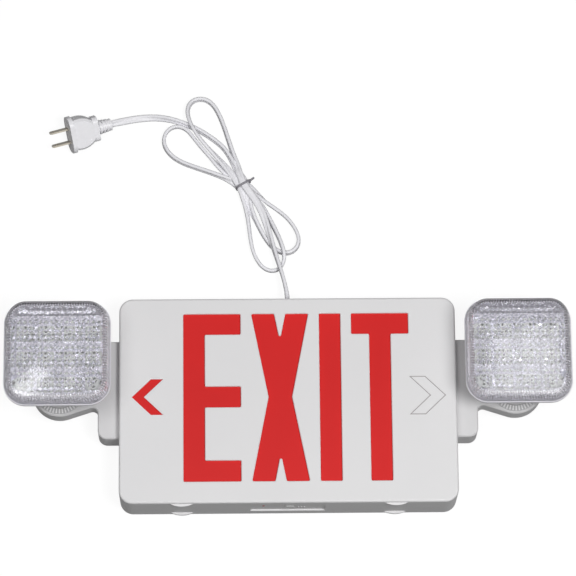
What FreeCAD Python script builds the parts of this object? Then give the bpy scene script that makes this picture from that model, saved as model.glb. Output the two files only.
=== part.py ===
import FreeCAD, Part
import Sketcher
import math
import os
import re
from FreeCAD import Placement, Rotation, Vector

# A two-head emergency exit light lying on its back, as it comes out of its box: +X to the reader's
# right, +Y to the top of the lettering, +Z out of the lettered face. The origin is the centre of the
# wire-entry hole in the wall face, which lies at z = 0. All sizes are in millimetres and degrees.

SIZES = {
    # the box: back plate, frame and lettered face plate, stacked along Z
    "face_width": 298, "face_height": 186, "corner_radius": 12, "edge_round": 2,
    "back_depth": 9.7, "frame_depth": 25.8, "face_depth": 9.5, "wall": 2.5, "face_wall": 2.4,
    "seam_lip": 2.5, "lip_wall": 1.2, "fit": 0.2,
    # the lettering and the two chevrons
    "letter_left": -92.3, "letter_base": -73.6, "letter_height": 152.4, "letter_width": 50.8,
    "stroke": 19.05, "letter_gap": 9.4, "middle_bar": 2.9, "letter_round": 1.2, "rim_chamfer": 0.5,
    "x_arm": 20.4, "x_waist": 10.4, "x_notch": 25.3,
    "chevron_tip": 139.6, "chevron_half": 17.5, "chevron_band": 14.4, "chevron_sweep": 18.2,
    "chevron_middle": 3.2, "chevron_edge": 1.2, "groove_width": 0.8, "groove_depth": 0.6,
    # what lies behind the lettering
    "panel_depth": 2, "tray_back": 24, "tray_wall": 1.5, "tray_floor": 14, "post_radius": 4,
    "post_inset": 3, "post_level": 72, "strip_length": 236, "strip_width": 9, "circuit_depth": 1.6,
    "chip_size": 3.4, "chip_depth": 1.1, "chip_count": 12,
    # the back plate's holes and pry lips
    "entry_radius": 10.5, "screw_pitch": 88.9, "screw_hole": 2.5, "keyhole_x": 110, "keyhole_y": 52,
    "keyhole_head": 5, "keyhole_neck": 2.6, "keyhole_rise": 9, "knockout_radius": 10.5,
    "knockout_low_x": 52, "knockout_high_x": 79, "knockout_y": 62, "lip_x": 94, "pry_chord": 19.7,
    "pry_reach": 2.3, "pry_depth": 2.5,
    "front_pry_low": 39.9, "rear_pry_low": 5.9,
    # the electronics
    "board_width": 104, "board_height": 52, "board_drop": 42, "board_level": 8, "board_screw_inset": 5,
    "cell_radius": 7.2, "cell_length": 49, "pack_x": -98, "pack_y": -34, "clip_wall": 1.5, "clip_width": 12,
    "core_x": 96, "core_y": -34, "core_width": 42, "core_height": 34, "core_depth": 14,
    # the test panel in the underside
    "recess_left": -33.5, "recess_right": 32, "recess_low": 12.7, "recess_top": 34, "recess_depth": 1.5,
    "button_x": 1, "button_level": 26.6, "button_radius": 4.2, "button_travel": 1.5, "button_slack": 0.1,
    "lamp_x": -22.3, "lamp_radius": 1.5, "switch_size": 8.5, "switch_depth": 5, "plunger_radius": 1.8,
    # the cord's way out
    "exit_x": 0.6, "exit_level": 16.2, "cord_radius": 3.4, "grommet_neck": 4.9, "grommet_flange": 6.1,
    "grommet_lip": 2.5,
    # the arms at the sides
    "arm_width": 19, "arm_low": -32.3, "arm_high": 56.3, "arm_corner": 8, "arm_wall": 2.2, "arm_bevel": 1,
    "lobe_reach": 52.8, "lobe_y": 13, "lobe_radius": 24.6, "lobe_depth": 16.8, "lobe_wall": 3,
    "web_slope": 18, "web_fillet": 5, "channel_half": 8, "arm_screw_pitch": 60, "arm_screw_radius": 1.9,
    # the swivel, which turns about Z, and the tilt hinge, which turns about X
    "turret_radius": 17.5, "turret_depth": 3.2, "swivel_gap": 0.3, "pivot_radius": 7, "pivot_slack": 0.05,
    "wire_bore": 4.5, "pivot_nut_radius": 9.5, "pivot_nut_depth": 2.6, "click_radius": 22.4,
    "click_base": 0.8, "click_rise": 0.7, "click_rib": 1.3, "click_count": 48,
    "tilt_level": 50, "lug_half": 6, "ear_wall": 3.5, "ear_radius": 6.5, "ear_gap": 0.2,
    "tilt_radius": 2, "tilt_slack": 0.05, "bolt_head_radius": 3.6, "bolt_head_depth": 2.2,
    # the lamp heads
    "head_lift": 21, "head_back_gap": 7.5, "head_back": 68, "head_rim": 93.5, "head_wall": 2.2,
    "head_corner": 20, "head_taper": 19.5, "rim_depth": 3, "lens_base": 91.7, "lens_face": 87,
    "lens_depth": 15, "lens_wall": 1.6, "lens_bevel": 1,
    "cell_columns": 4, "cell_rows": 3, "cell_margin_x": 2.1, "cell_margin_y": 8.3, "cell_mouth": 1,
    "cell_throat": 8, "reflector_depth": 12, "reflector_rim": 1.8, "reflector_gap": 1.15,
    "lamp_board_gap": 1.4,
    # the plug
    "plug_width": 34, "plug_thick": 19, "plug_flange": 3.8, "plug_grip": 18.6, "plug_collar": 4.8,
    "plug_relief": 13, "relief_rings": 4, "blade_pitch": 12.7, "blade_width": 6.35, "blade_thick": 1.5,
    "blade_length": 17.5,
    "blade_hole": 1.6, "blade_hole_inset": 4.5,
    # the tied cord
    "hank_height": 10, "tie_width": 3, "tie_wall": 0.9, "tie_across": 14.6,
}

# Places worked out from the sizes.
SIDE = "(face_width / 2)"
TOP = "(face_height / 2)"
SEAM = "(back_depth + frame_depth)"
FRONT = "(back_depth + frame_depth + face_depth)"
PANEL_FRONT = f"({FRONT} - face_wall)"
PANEL_BACK = f"({PANEL_FRONT} - panel_depth)"
FRAME_WALL = "(wall + fit)"
TRAY_INSET = "(wall + fit + lip_wall + fit)"
TRAY_LOW = f"(tray_floor - {TOP})"
RECESS_FACE = f"(recess_depth - {TOP})"
RECESS_BACK = f"({RECESS_FACE} + wall)"
TEST_BOARD = f"({TRAY_LOW} - fit - circuit_depth)"
ARM_SIDE = f"({SIDE} + arm_width)"
LOBE_X = f"({SIDE} + lobe_reach)"
LOBE_BACK = f"({SEAM} - lobe_depth)"
LOBE_INNER = f"({SEAM} - lobe_wall)"
TURRET_LOW = f"({SEAM} + swivel_gap)"
TURRET_TOP = f"({SEAM} + swivel_gap + turret_depth)"
HEAD_Y = "(lobe_y + head_lift)"
HEAD_BACK = "(tilt_level + head_back_gap)"
RIM_LOW = f"({HEAD_BACK} + head_taper)"
LENS_LOW = f"({RIM_LOW} + rim_depth)"
LENS_TOP = f"({LENS_LOW} + lens_depth)"
REFLECTOR_LOW = f"({LENS_LOW} - reflector_depth)"
LAMP_BOARD = f"({REFLECTOR_LOW} - circuit_depth)"
HEAD_GROWTH = "((lens_base - head_back) / 2)"
HEAD_SLOPE = f"({HEAD_GROWTH} / (head_taper - head_wall))"
REFLECTOR_FRONT = "(lens_base - 2 * head_wall - 2 * reflector_gap)"
REFLECTOR_GROWTH = f"({HEAD_SLOPE} * (reflector_depth - reflector_rim))"
CELL_PITCH_X = f"(({REFLECTOR_FRONT} - 2 * cell_margin_x) / cell_columns)"
CELL_PITCH_Y = f"(({REFLECTOR_FRONT} - 2 * cell_margin_y) / cell_rows)"
LAMP_BOARD_SPREAD = f"({HEAD_SLOPE} * ({LAMP_BOARD} - {HEAD_BACK} - head_wall))"
LAMP_BOARD_WIDTH = f"(head_back - 2 * head_wall + 2 * {LAMP_BOARD_SPREAD} - 2 * lamp_board_gap)"
BOARD_Y = f"({TOP} - board_drop)"

doc = FreeCAD.newDocument("exit_light")
sheet = doc.addObject("Spreadsheet::Sheet", "Sizes")
for row, (alias, size) in enumerate(SIZES.items(), start=1):
    sheet.set(f"A{row}", alias)
    sheet.set(f"B{row}", str(size))
    sheet.setAlias(f"B{row}", alias)
doc.recompute()

nodes = {}


def formula(text):
    """The text with each bare size name pointing at its cell of the sheet."""
    return re.sub(r"\b[a-z][a-z_]*\b", lambda m: "Sizes." + m[0] if m[0] in SIZES else m[0], str(text))


def value(text):
    return float(sheet.evalExpression(formula(text)))


def bind(item, **properties):
    for name, text in properties.items():
        item.setExpression(name.replace("__", "."), formula(text))


def place(item, x, y, z, rotation=None):
    """Put a primitive or a finished piece at a bound place."""
    item.Placement = Placement(Vector(value(x), value(y), value(z)), rotation or Rotation())
    bind(item, Placement__Base__x=x, Placement__Base__y=y, Placement__Base__z=z)
    return item


def keep(item, label):
    """Make this item the sub-part that its label names."""
    item.Label = label
    nodes[label] = item
    return item


# ---- primitives -------------------------------------------------------------------------------------

ALONG_X = Rotation(Vector(0, 1, 0), 90)
ALONG_Y = Rotation(Vector(1, 0, 0), -90)


def box(name, x, y, z, length, width, height):
    item = doc.addObject("Part::Box", name)
    bind(item, Length=length, Width=width, Height=height)
    return place(item, x, y, z)


def middle_box(name, x, y, z, length, width, height):
    """A box that stands on z with its middle at x, y."""
    return box(name, f"{x} - ({length}) / 2", f"{y} - ({width}) / 2", z, length, width, height)


def rod(name, x, y, z, radius, height, rotation=None):
    item = doc.addObject("Part::Cylinder", name)
    bind(item, Radius=radius, Height=height)
    return place(item, x, y, z, rotation)


def fuse(name, *items):
    item = doc.addObject("Part::MultiFuse", name)
    item.Shapes = list(items)
    item.Refine = True
    return item


def cut(name, base, *tools):
    item = doc.addObject("Part::Cut", name)
    item.Base = base
    item.Tool = tools[0] if len(tools) == 1 else fuse(name + "_tools", *tools)
    return item


def group(name, *items):
    """Separate solids that share one node."""
    item = doc.addObject("Part::Compound", name)
    item.Links = list(items)
    return item


def mirrored(label, source):
    item = doc.addObject("Part::Mirroring", label)
    item.Source = source
    item.Normal = Vector(1, 0, 0)
    return keep(item, label)


# ---- sketches and part design features --------------------------------------------------------------


def body(name):
    return doc.addObject("PartDesign::Body", name)


def sketch_on(owner, name, level):
    """An empty sketch of this body, parallel to the wall face at that level."""
    sketch = owner.newObject("Sketcher::SketchObject", name)
    plane = next(f for f in owner.Origin.OriginFeatures if f.Role == "XY_Plane")
    sketch.AttachmentSupport = [(plane, "")]
    sketch.MapMode = "FlatFace"
    bind(sketch, AttachmentOffset__Base__z=level)
    return sketch


def pin_down(sketch, kind, *where, to):
    """Add a dimension and bind it to its formula."""
    index = sketch.addConstraint(Sketcher.Constraint(kind, *where, value(to)))
    sketch.setExpression(f"Constraints[{index}]", formula(to))


def draw_circle(sketch, x, y, radius):
    circle = Part.Circle(Vector(value(x), value(y), 0), Vector(0, 0, 1), value(radius))
    index = sketch.addGeometry(circle, False)
    pin_down(sketch, "DistanceX", -1, 1, index, 3, to=x)
    pin_down(sketch, "DistanceY", -1, 1, index, 3, to=y)
    pin_down(sketch, "Radius", index, to=radius)


def draw_outline(sketch, corners):
    """Draw a closed outline through corners of x, y and rounding, with every corner bound."""
    points = [Vector(value(x), value(y), 0) for x, y, _ in corners]
    radii = [value(rounding) for _, _, rounding in corners]
    count = len(corners)
    arrive, leave, middles = list(points), list(points), [None] * count
    for i, point in enumerate(points):
        if radii[i] > 0:
            back = (points[i - 1] - point).normalize()
            ahead = (points[(i + 1) % count] - point).normalize()
            half = back.getAngle(ahead) / 2
            arrive[i] = point + back * (radii[i] / math.tan(half))
            leave[i] = point + ahead * (radii[i] / math.tan(half))
            middles[i] = point + (back + ahead).normalize() * (radii[i] / math.sin(half))
    lines = [
        sketch.addGeometry(Part.LineSegment(leave[i], arrive[(i + 1) % count]), False) for i in range(count)
    ]
    for i, (x, y, rounding) in enumerate(corners):
        before, after = lines[i - 1], lines[i]
        if radii[i] > 0:
            turn = (arrive[i] - middles[i]).cross(leave[i] - middles[i]).z
            first, last = (arrive[i], leave[i]) if turn > 0 else (leave[i], arrive[i])
            circle = Part.Circle(middles[i], Vector(0, 0, 1), radii[i])
            start, end = (circle.parameter(p) for p in (first, last))
            end += 2 * math.pi if end < start else 0
            arc = sketch.addGeometry(Part.ArcOfCircle(circle, start, end), False)
            arriving, leaving = (1, 2) if turn > 0 else (2, 1)
            sketch.addConstraint(Sketcher.Constraint("Tangent", before, 2, arc, arriving))
            sketch.addConstraint(Sketcher.Constraint("Tangent", arc, leaving, after, 1))
            pin_down(sketch, "Radius", arc, to=rounding)
            corner = sketch.addGeometry(Part.Point(points[i]), True)
            sketch.addConstraint(Sketcher.Constraint("PointOnObject", corner, 1, before))
            sketch.addConstraint(Sketcher.Constraint("PointOnObject", corner, 1, after))
            where = (corner, 1)
        else:
            sketch.addConstraint(Sketcher.Constraint("Coincident", before, 2, after, 1))
            where = (after, 1)
        pin_down(sketch, "DistanceX", -1, 1, *where, to=x)
        pin_down(sketch, "DistanceY", -1, 1, *where, to=y)


def add(owner, name, level, depth, *outlines):
    """Pad outlines upwards from a level; a second outline inside the first leaves a hole."""
    sketch = sketch_on(owner, name + "_sketch", level)
    for outline in outlines:
        (draw_circle(sketch, *outline[0]) if len(outline) == 1 else draw_outline(sketch, outline))
    pad = owner.newObject("PartDesign::Pad", name)
    pad.Profile = sketch
    bind(pad, Length=depth)
    return pad


def remove(owner, name, level, depth, *outlines):
    """Pocket outlines upwards from a level, and make sure that they take something away."""
    doc.recompute()
    whole = owner.Shape.Volume
    sketch = sketch_on(owner, name + "_sketch", level)
    for outline in outlines:
        (draw_circle(sketch, *outline[0]) if len(outline) == 1 else draw_outline(sketch, outline))
    pocket = owner.newObject("PartDesign::Pocket", name)
    pocket.Profile = sketch
    pocket.Reversed = True
    bind(pocket, Length=depth)
    doc.recompute()
    if owner.Shape.Volume >= whole:
        raise ValueError(f"{name} takes nothing away")
    return pocket


def flare(feature, growth, length):
    """Make a pad or pocket wider by the growth on every side, over its length."""
    feature.setExpression("TaperAngle", formula(f"atan(({growth}) / ({length}))"))


def dress(owner, name, kind, size, chosen):
    """Fillet or chamfer the edges of the body's newest feature that chosen says yes to."""
    doc.recompute()
    tip = owner.Tip
    edges = [f"Edge{i}" for i, edge in enumerate(tip.Shape.Edges, start=1) if chosen(edge)]
    item = owner.newObject(f"PartDesign::{kind}", name)
    item.Base = (tip, edges)
    bind(item, **{"Radius" if kind == "Fillet" else "Size": size})
    return item


def rounded(width, height, radius, x="0", y="0"):
    """The corners of a rounded rectangle about x, y."""
    return [(f"{x} + ({width}) / 2 * {i}", f"{y} + ({height}) / 2 * {j}", radius)
            for i, j in ((-1, -1), (1, -1), (1, 1), (-1, 1))]


def inset(distance):
    """The box's own outline, that far inside its outer wall."""
    d = f"({distance})"
    return rounded(f"face_width - 2 * {d}", f"face_height - 2 * {d}", f"corner_radius - {d}")


def at_level(edge, level):
    box_of_edge = edge.BoundBox
    return abs(box_of_edge.ZMin - level) < 1e-4 and abs(box_of_edge.ZMax - level) < 1e-4


# ---- the lettered face plate ------------------------------------------------------------------------


def letter_e(x):
    right, top = f"{x} + letter_width", "letter_base + letter_height"
    bar_low, bar_high = "middle_bar - stroke / 2", "middle_bar + stroke / 2"
    return [(x, "letter_base"), (right, "letter_base"), (right, "letter_base + stroke"),
            (f"{x} + stroke", "letter_base + stroke"), (f"{x} + stroke", bar_low), (right, bar_low),
            (right, bar_high), (f"{x} + stroke", bar_high), (f"{x} + stroke", f"{top} - stroke"),
            (right, f"{top} - stroke"), (right, top), (x, top)]


def letter_x(x):
    right, centre, waist = f"{x} + letter_width", f"{x} + letter_width / 2", "letter_base + letter_height / 2"
    top = "letter_base + letter_height"
    return [(x, "letter_base"), (f"{x} + x_arm", "letter_base"), (centre, "letter_base + x_notch"),
            (f"{right} - x_arm", "letter_base"), (right, "letter_base"), (f"{centre} + x_waist", waist),
            (right, top), (f"{right} - x_arm", top), (centre, f"{top} - x_notch"), (f"{x} + x_arm", top),
            (x, top), (f"{centre} - x_waist", waist)]


def letter_i(x):
    top = "letter_base + letter_height"
    return [(x, "letter_base"), (f"{x} + stroke", "letter_base"), (f"{x} + stroke", top), (x, top)]


def letter_t(x):
    stem, top = f"{x} + letter_width / 2", "letter_base + letter_height"
    return [(f"{stem} - stroke / 2", "letter_base"), (f"{stem} + stroke / 2", "letter_base"),
            (f"{stem} + stroke / 2", f"{top} - stroke"), (f"{x} + letter_width", f"{top} - stroke"),
            (f"{x} + letter_width", top), (x, top), (x, f"{top} - stroke"),
            (f"{stem} - stroke / 2", f"{top} - stroke")]


def lettering():
    """The four letter outlines, each starting where the last one ends."""
    second = "letter_left + letter_width + letter_gap"
    third = f"{second} + letter_width + letter_gap"
    last = f"{third} + stroke + letter_gap"
    letters = letter_e("letter_left"), letter_x(second), letter_i(third), letter_t(last)
    return [[(x, y, "letter_round") for x, y in letter] for letter in letters]


def chevron(side, shrink="0"):
    """An arrow head that points away from the lettering, shrunk evenly by a distance."""
    half = f"(chevron_half - ({shrink}))"
    shift = f"({shrink}) * sqrt(chevron_half ^ 2 + chevron_sweep ^ 2) / chevron_half"
    tip, notch = f"(chevron_tip - {shift})", f"(chevron_tip - chevron_band + {shift})"
    back = f"(chevron_sweep * {half} / chevron_half)"
    low, high = f"chevron_middle - {half}", f"chevron_middle + {half}"
    return [(f"{side} * ({x})", y, "0") for x, y in (
        (f"{notch} - {back}", low), (f"{tip} - {back}", low), (tip, "chevron_middle"),
        (f"{tip} - {back}", high), (f"{notch} - {back}", high), (notch, "chevron_middle"))]


def pry_lip(x):
    """A crescent on the underside, where a thumb or a coin parts the covers."""
    bulge = "(pry_chord ^ 2 / (8 * pry_reach) + pry_reach / 2)"
    return x, f"{bulge} - {TOP} - pry_reach", bulge


def pry_lips(name, low):
    """The two crescents, each a disc cut off at the underside."""
    pieces = []
    for side, x in (("left", "-lip_x"), ("right", "lip_x")):
        centre_x, centre_y, radius = pry_lip(x)
        disc = rod(f"{name}_{side}_disc", centre_x, centre_y, low, radius, "pry_depth")
        under = middle_box(f"{name}_{side}_reach", x, f"-{TOP} - pry_reach / 2", low,
                           "pry_chord + 2", "pry_reach + 1", "pry_depth")
        crescent = doc.addObject("Part::Common", f"{name}_{side}")
        crescent.Base, crescent.Tool = disc, under
        pieces.append(crescent)
    return pieces


def make_face_plate():
    plate = body("face_shell")
    add(plate, "face_blank", SEAM, "face_depth", inset("0"))
    dress(plate, "face_edge", "Fillet", "edge_round", lambda edge: at_level(edge, value(FRONT)))
    remove(plate, "face_hollow", SEAM, "face_depth - face_wall", inset("wall"))
    remove(plate, "face_letters", PANEL_FRONT, "face_wall", *lettering())
    front, letters_right = value(FRONT), value("letter_left + 3 * (letter_width + letter_gap) + stroke")

    def letter_rim(edge):
        return at_level(edge, front) and edge.BoundBox.XMin > value("letter_left") - 1 and (
            edge.BoundBox.XMax < letters_right + 1 and abs(edge.BoundBox.Center.y) < value(TOP) - 6)

    dress(plate, "letter_rims", "Chamfer", "rim_chamfer", letter_rim)
    remove(plate, "left_chevron_step", f"{FRONT} - groove_depth", "groove_depth", chevron(-1))
    remove(plate, "left_chevron_window", PANEL_FRONT, "face_wall", chevron(-1, "chevron_edge"))
    remove(plate, "right_chevron_groove", f"{FRONT} - groove_depth", "groove_depth",
           chevron(1), chevron(1, "groove_width"))
    return keep(fuse("face_plate", plate, *pry_lips("front_pry", "front_pry_low")), "face_plate")


def make_letter_panel():
    panel = body("letter_panel")
    add(panel, "panel_sheet", PANEL_BACK, "panel_depth", inset("wall + fit"))
    return keep(panel, "letter_panel")


# ---- frame, back plate and what they hold -----------------------------------------------------------


def make_housing_frame():
    frame = body("frame_walls")
    add(frame, "frame_wall", "back_depth", "frame_depth", inset("0"), inset(FRAME_WALL))
    lip = f"{FRAME_WALL} + lip_wall"
    add(frame, "front_lip", f"{SEAM} - seam_lip", "2 * seam_lip", inset(FRAME_WALL), inset(lip))
    add(frame, "rear_lip", "back_depth - seam_lip", "2 * seam_lip", inset(FRAME_WALL), inset(lip))
    parts = [frame]
    for i, (x, y) in enumerate(((-1, -1), (1, -1), (1, 1), (-1, 1))):
        parts.append(rod(f"tray_post_{i}", f"{x} * ({SIDE} - {FRAME_WALL} - post_inset)", f"{y} * post_level",
                         "back_depth", "post_radius", "tray_back - back_depth"))
    width = "recess_right - recess_left"
    parts.append(box("recess_backing", "recess_left - wall", f"{FRAME_WALL} - {TOP} - fit",
                     "recess_low - wall / 2", f"{width} + 2 * wall",
                     f"{RECESS_BACK} + {TOP} - {FRAME_WALL} + fit",
                     "recess_top - recess_low + wall"))
    for name, x in (("left", "recess_left + 5"), ("right", "recess_right - 5")):
        parts.append(rod(f"test_board_post_{name}", x, RECESS_BACK, "button_level", "2.4",
                         f"{TEST_BOARD} - {RECESS_BACK}", ALONG_Y))
    tools = [
        box("recess", "recess_left", f"-{TOP} - 1", "recess_low", width, "recess_depth + 1",
            "recess_top - recess_low"),
        rod("button_hole", "button_x", f"-{TOP} - 1", "button_level", "button_radius + button_slack", "8",
            ALONG_Y),
        rod("lamp_hole", "lamp_x", f"-{TOP} - 1", "button_level", "lamp_radius + fit / 2", "8", ALONG_Y),
        rod("cord_hole", "exit_x", f"{TOP} - 6", "exit_level", "grommet_neck + fit / 2", "8", ALONG_Y),
        middle_box("cord_notch", "exit_x", f"{TOP} - {FRAME_WALL} - lip_wall",
                   "exit_level - grommet_neck - 1",
                   "2 * grommet_neck + 2", "2 * lip_wall", "2 * grommet_neck + 2"),
    ]
    for i, side in enumerate((-1, 1)):
        tools.append(middle_box(f"wire_window_{i}", f"{side} * ({SIDE} - 2)", "lobe_y", f"{LOBE_BACK} + 2",
                                "8", "2 * channel_half", "lobe_depth - lobe_wall - 2"))
        for j, step in enumerate((-1, 1)):
            tools.append(rod(f"arm_screw_hole_{i}_{j}", f"{side} * {SIDE} - 6",
                             f"lobe_y + {step} * arm_screw_pitch / 2", f"{SEAM} - frame_depth / 2",
                             "arm_screw_radius + fit / 2", "12", ALONG_X))
    ribs = [box(f"panel_rib_{i}", f"button_x + 7 + 2.6 * {i}", f"{RECESS_FACE} - 0.6", "recess_low + 5.5",
                "1.2", "0.8", "5") for i in range(3)]
    hollowed = cut("frame_with_holes", fuse("frame_solid", *parts), *tools)
    return keep(fuse("housing_frame", hollowed, *ribs), "housing_frame")


def make_back_plate():
    plate = body("back_shell")
    add(plate, "back_blank", "0", "back_depth", inset("0"))
    dress(plate, "back_edge", "Fillet", "edge_round", lambda edge: at_level(edge, 0))
    remove(plate, "back_hollow", "wall", "back_depth - wall", inset("wall"))
    remove(plate, "wire_entry", "0", "wall", [("0", "0", "entry_radius")])
    remove(plate, "box_screw_holes", "0", "wall", [("-screw_pitch / 2", "0", "screw_hole")],
           [("screw_pitch / 2", "0", "screw_hole")])
    remove(plate, "keyhole_heads", "0", "wall", [("-keyhole_x", "keyhole_y", "keyhole_head")],
           [("keyhole_x", "keyhole_y", "keyhole_head")])
    remove(plate, "keyhole_necks", "0", "wall",
           *[rounded("2 * keyhole_neck", "keyhole_rise + keyhole_neck", "keyhole_neck * 0.98", x,
                     "keyhole_y + (keyhole_rise + keyhole_neck) / 2") for x in ("-keyhole_x", "keyhole_x")])
    for side in (-1, 1):
        for level, away in ((-1, "knockout_low_x"), (1, "knockout_high_x")):
            x, y = f"{side} * {away}", f"{level} * knockout_y"
            remove(plate, f"knockout_{side + 1}{level + 1}", "0", "wall / 2", [(x, y, "knockout_radius")],
                   [(x, y, "knockout_radius - groove_width")])
    parts = [plate, *pry_lips("rear_pry", "rear_pry_low")]
    for i, (x, y) in enumerate(board_corners()):
        parts.append(rod(f"board_post_{i}", x, y, "wall / 2", "3.4", "board_level - wall / 2"))
    return keep(fuse("back_plate", *parts), "back_plate")


def make_reflector_tray():
    tray = body("reflector_tray")
    width, height = f"face_width - 2 * {TRAY_INSET}", f"face_height - {TRAY_INSET} - tray_floor"
    middle = f"(tray_floor - {TRAY_INSET}) / 2"
    radius = f"corner_radius - {TRAY_INSET}"
    add(tray, "tray_pan", "tray_back", f"{PANEL_BACK} - tray_back", rounded(width, height, radius, y=middle))
    remove(tray, "tray_hollow", "tray_back + tray_wall", f"{PANEL_BACK} - tray_back - tray_wall",
           rounded(f"{width} - 2 * tray_wall", f"{height} - 2 * tray_wall", f"{radius} - tray_wall",
                   y=middle))
    return keep(tray, "reflector_tray")


def make_light_strip(label, wall_face, inwards):
    """A narrow circuit board on the tray's wall, with its light chips facing across the box."""
    low = wall_face if inwards > 0 else f"{wall_face} - circuit_depth"
    level = f"(tray_back + tray_wall + ({PANEL_BACK} - tray_back - tray_wall - strip_width) / 2)"
    parts = [middle_box(label + "_board", "0", f"{low} + circuit_depth / 2", level, "strip_length",
                        "circuit_depth", "strip_width")]
    chip_low = f"{low} + circuit_depth" if inwards > 0 else f"{low} - chip_depth"
    pitch = "strip_length / chip_count"
    for i in range(int(value("chip_count"))):
        parts.append(middle_box(f"{label}_chip_{i}", f"({i} + 0.5) * {pitch} - strip_length / 2",
                                f"{chip_low} + chip_depth / 2", f"{level} + (strip_width - chip_size) / 2",
                                "chip_size", "chip_depth", "chip_size"))
    return keep(fuse(label, *parts), label)


def board_corners():
    return [(f"{i} * (board_width / 2 - board_screw_inset)",
             f"{BOARD_Y} + {j} * (board_height / 2 - board_screw_inset)")
            for i, j in ((-1, -1), (1, -1), (1, 1), (-1, 1))]


def make_control_board():
    """The charger and change-over circuit on four posts of the back plate."""
    top = "board_level + circuit_depth"
    board = middle_box("board_sheet", "0", BOARD_Y, "board_level", "board_width", "board_height",
                       "circuit_depth")
    holes = [rod(f"board_hole_{i}", x, y, "board_level - 1", "1.7", "circuit_depth + 2")
             for i, (x, y) in enumerate(board_corners())]
    relay_x, row_y = "-board_width / 5", f"{BOARD_Y} + board_height / 8"
    parts = [
        cut("drilled_board", board, *holes),
        middle_box("relay", relay_x, row_y, top, "19", "15", "9.5"),
        rod("large_capacitor", "board_width / 8", row_y, top, "5", "12"),
        rod("small_capacitor", "board_width / 4", row_y, top, "4", "9"),
        middle_box("mains_terminal", "board_width / 3", f"{BOARD_Y} - board_height / 5", top, "15", "8",
                   "10"),
        middle_box("battery_socket", "-board_width / 3", f"{BOARD_Y} - board_height / 4", top, "10", "6",
                   "7"),
        middle_box("lamp_socket", "0", f"{BOARD_Y} - board_height / 4", top, "12.5", "6", "7"),
        middle_box("regulator", "-board_width / 16", f"{BOARD_Y} + board_height / 4", top, "10", "4.5",
                   "8.5"),
    ]
    keep(fuse("control_board", *parts), "control_board")
    screws = []
    for i, (x, y) in enumerate(board_corners()):
        screws.append(rod(f"board_screw_{i}", x, y, top, "2.8", "1.8"))
    keep(group("board_screws", *screws), "board_screws")


def make_battery():
    """Four sealed cells side by side in their sleeve, held down by a moulded clip."""
    parts = []
    for i in range(4):
        parts.append(rod(f"cell_{i}", "pack_x - cell_length / 2", f"pack_y + ({i} - 1.5) * 2 * cell_radius",
                         "wall + cell_radius", "cell_radius", "cell_length", ALONG_X))
    parts.append(middle_box("cell_sleeve", "pack_x", "pack_y", "wall + cell_radius / 4", "cell_length",
                            "6 * cell_radius", "1.5 * cell_radius"))
    keep(fuse("battery_pack", *parts), "battery_pack")
    span, top = "(8 * cell_radius + 2 * fit)", "(wall + 2 * cell_radius)"
    foot = "(clip_wall * 4)"
    clip = [middle_box("clip_bridge", "pack_x", "pack_y", top, "clip_width", f"{span} + 2 * clip_wall",
                       "clip_wall")]
    for name, side in (("low", -1), ("high", 1)):
        clip.append(middle_box(f"clip_leg_{name}", "pack_x", f"pack_y + {side} * ({span} + clip_wall) / 2",
                               "wall",
                               "clip_width", "clip_wall", "2 * cell_radius + clip_wall / 2"))
        clip.append(middle_box(f"clip_foot_{name}", "pack_x", f"pack_y + {side} * ({span} + {foot}) / 2",
                               "wall",
                               "clip_width", foot, "clip_wall"))
    keep(fuse("battery_clip", *clip), "battery_clip")


def make_transformer():
    core = middle_box("core", "core_x", "core_y", "wall + 1.5", "core_width", "core_height", "core_depth")
    coil = middle_box("coil", "core_x", "core_y", "wall + 1", "core_width / 2", "core_height + 12",
                      "core_depth + 3")
    strap = middle_box("core_strap", "core_x", "core_y", "wall", "core_width + 18", "12", "1.5")
    coil_round = doc.addObject("Part::Fillet", "coil_round")
    coil_round.Base = coil
    doc.recompute()
    coil_round.Edges = [(i, 2.0, 2.0) for i, edge in enumerate(coil.Shape.Edges, start=1)
                        if edge.BoundBox.YLength < 1e-6]
    keep(fuse("transformer", core, coil_round, strap), "transformer")
    screws = [rod(f"transformer_screw_{i}", f"core_x + {side} * (core_width / 2 + 5)", "core_y", "wall + 1.5",
                  "2.8", "1.8") for i, side in enumerate((-1, 1))]
    keep(group("transformer_screws", *screws), "transformer_screws")


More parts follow.
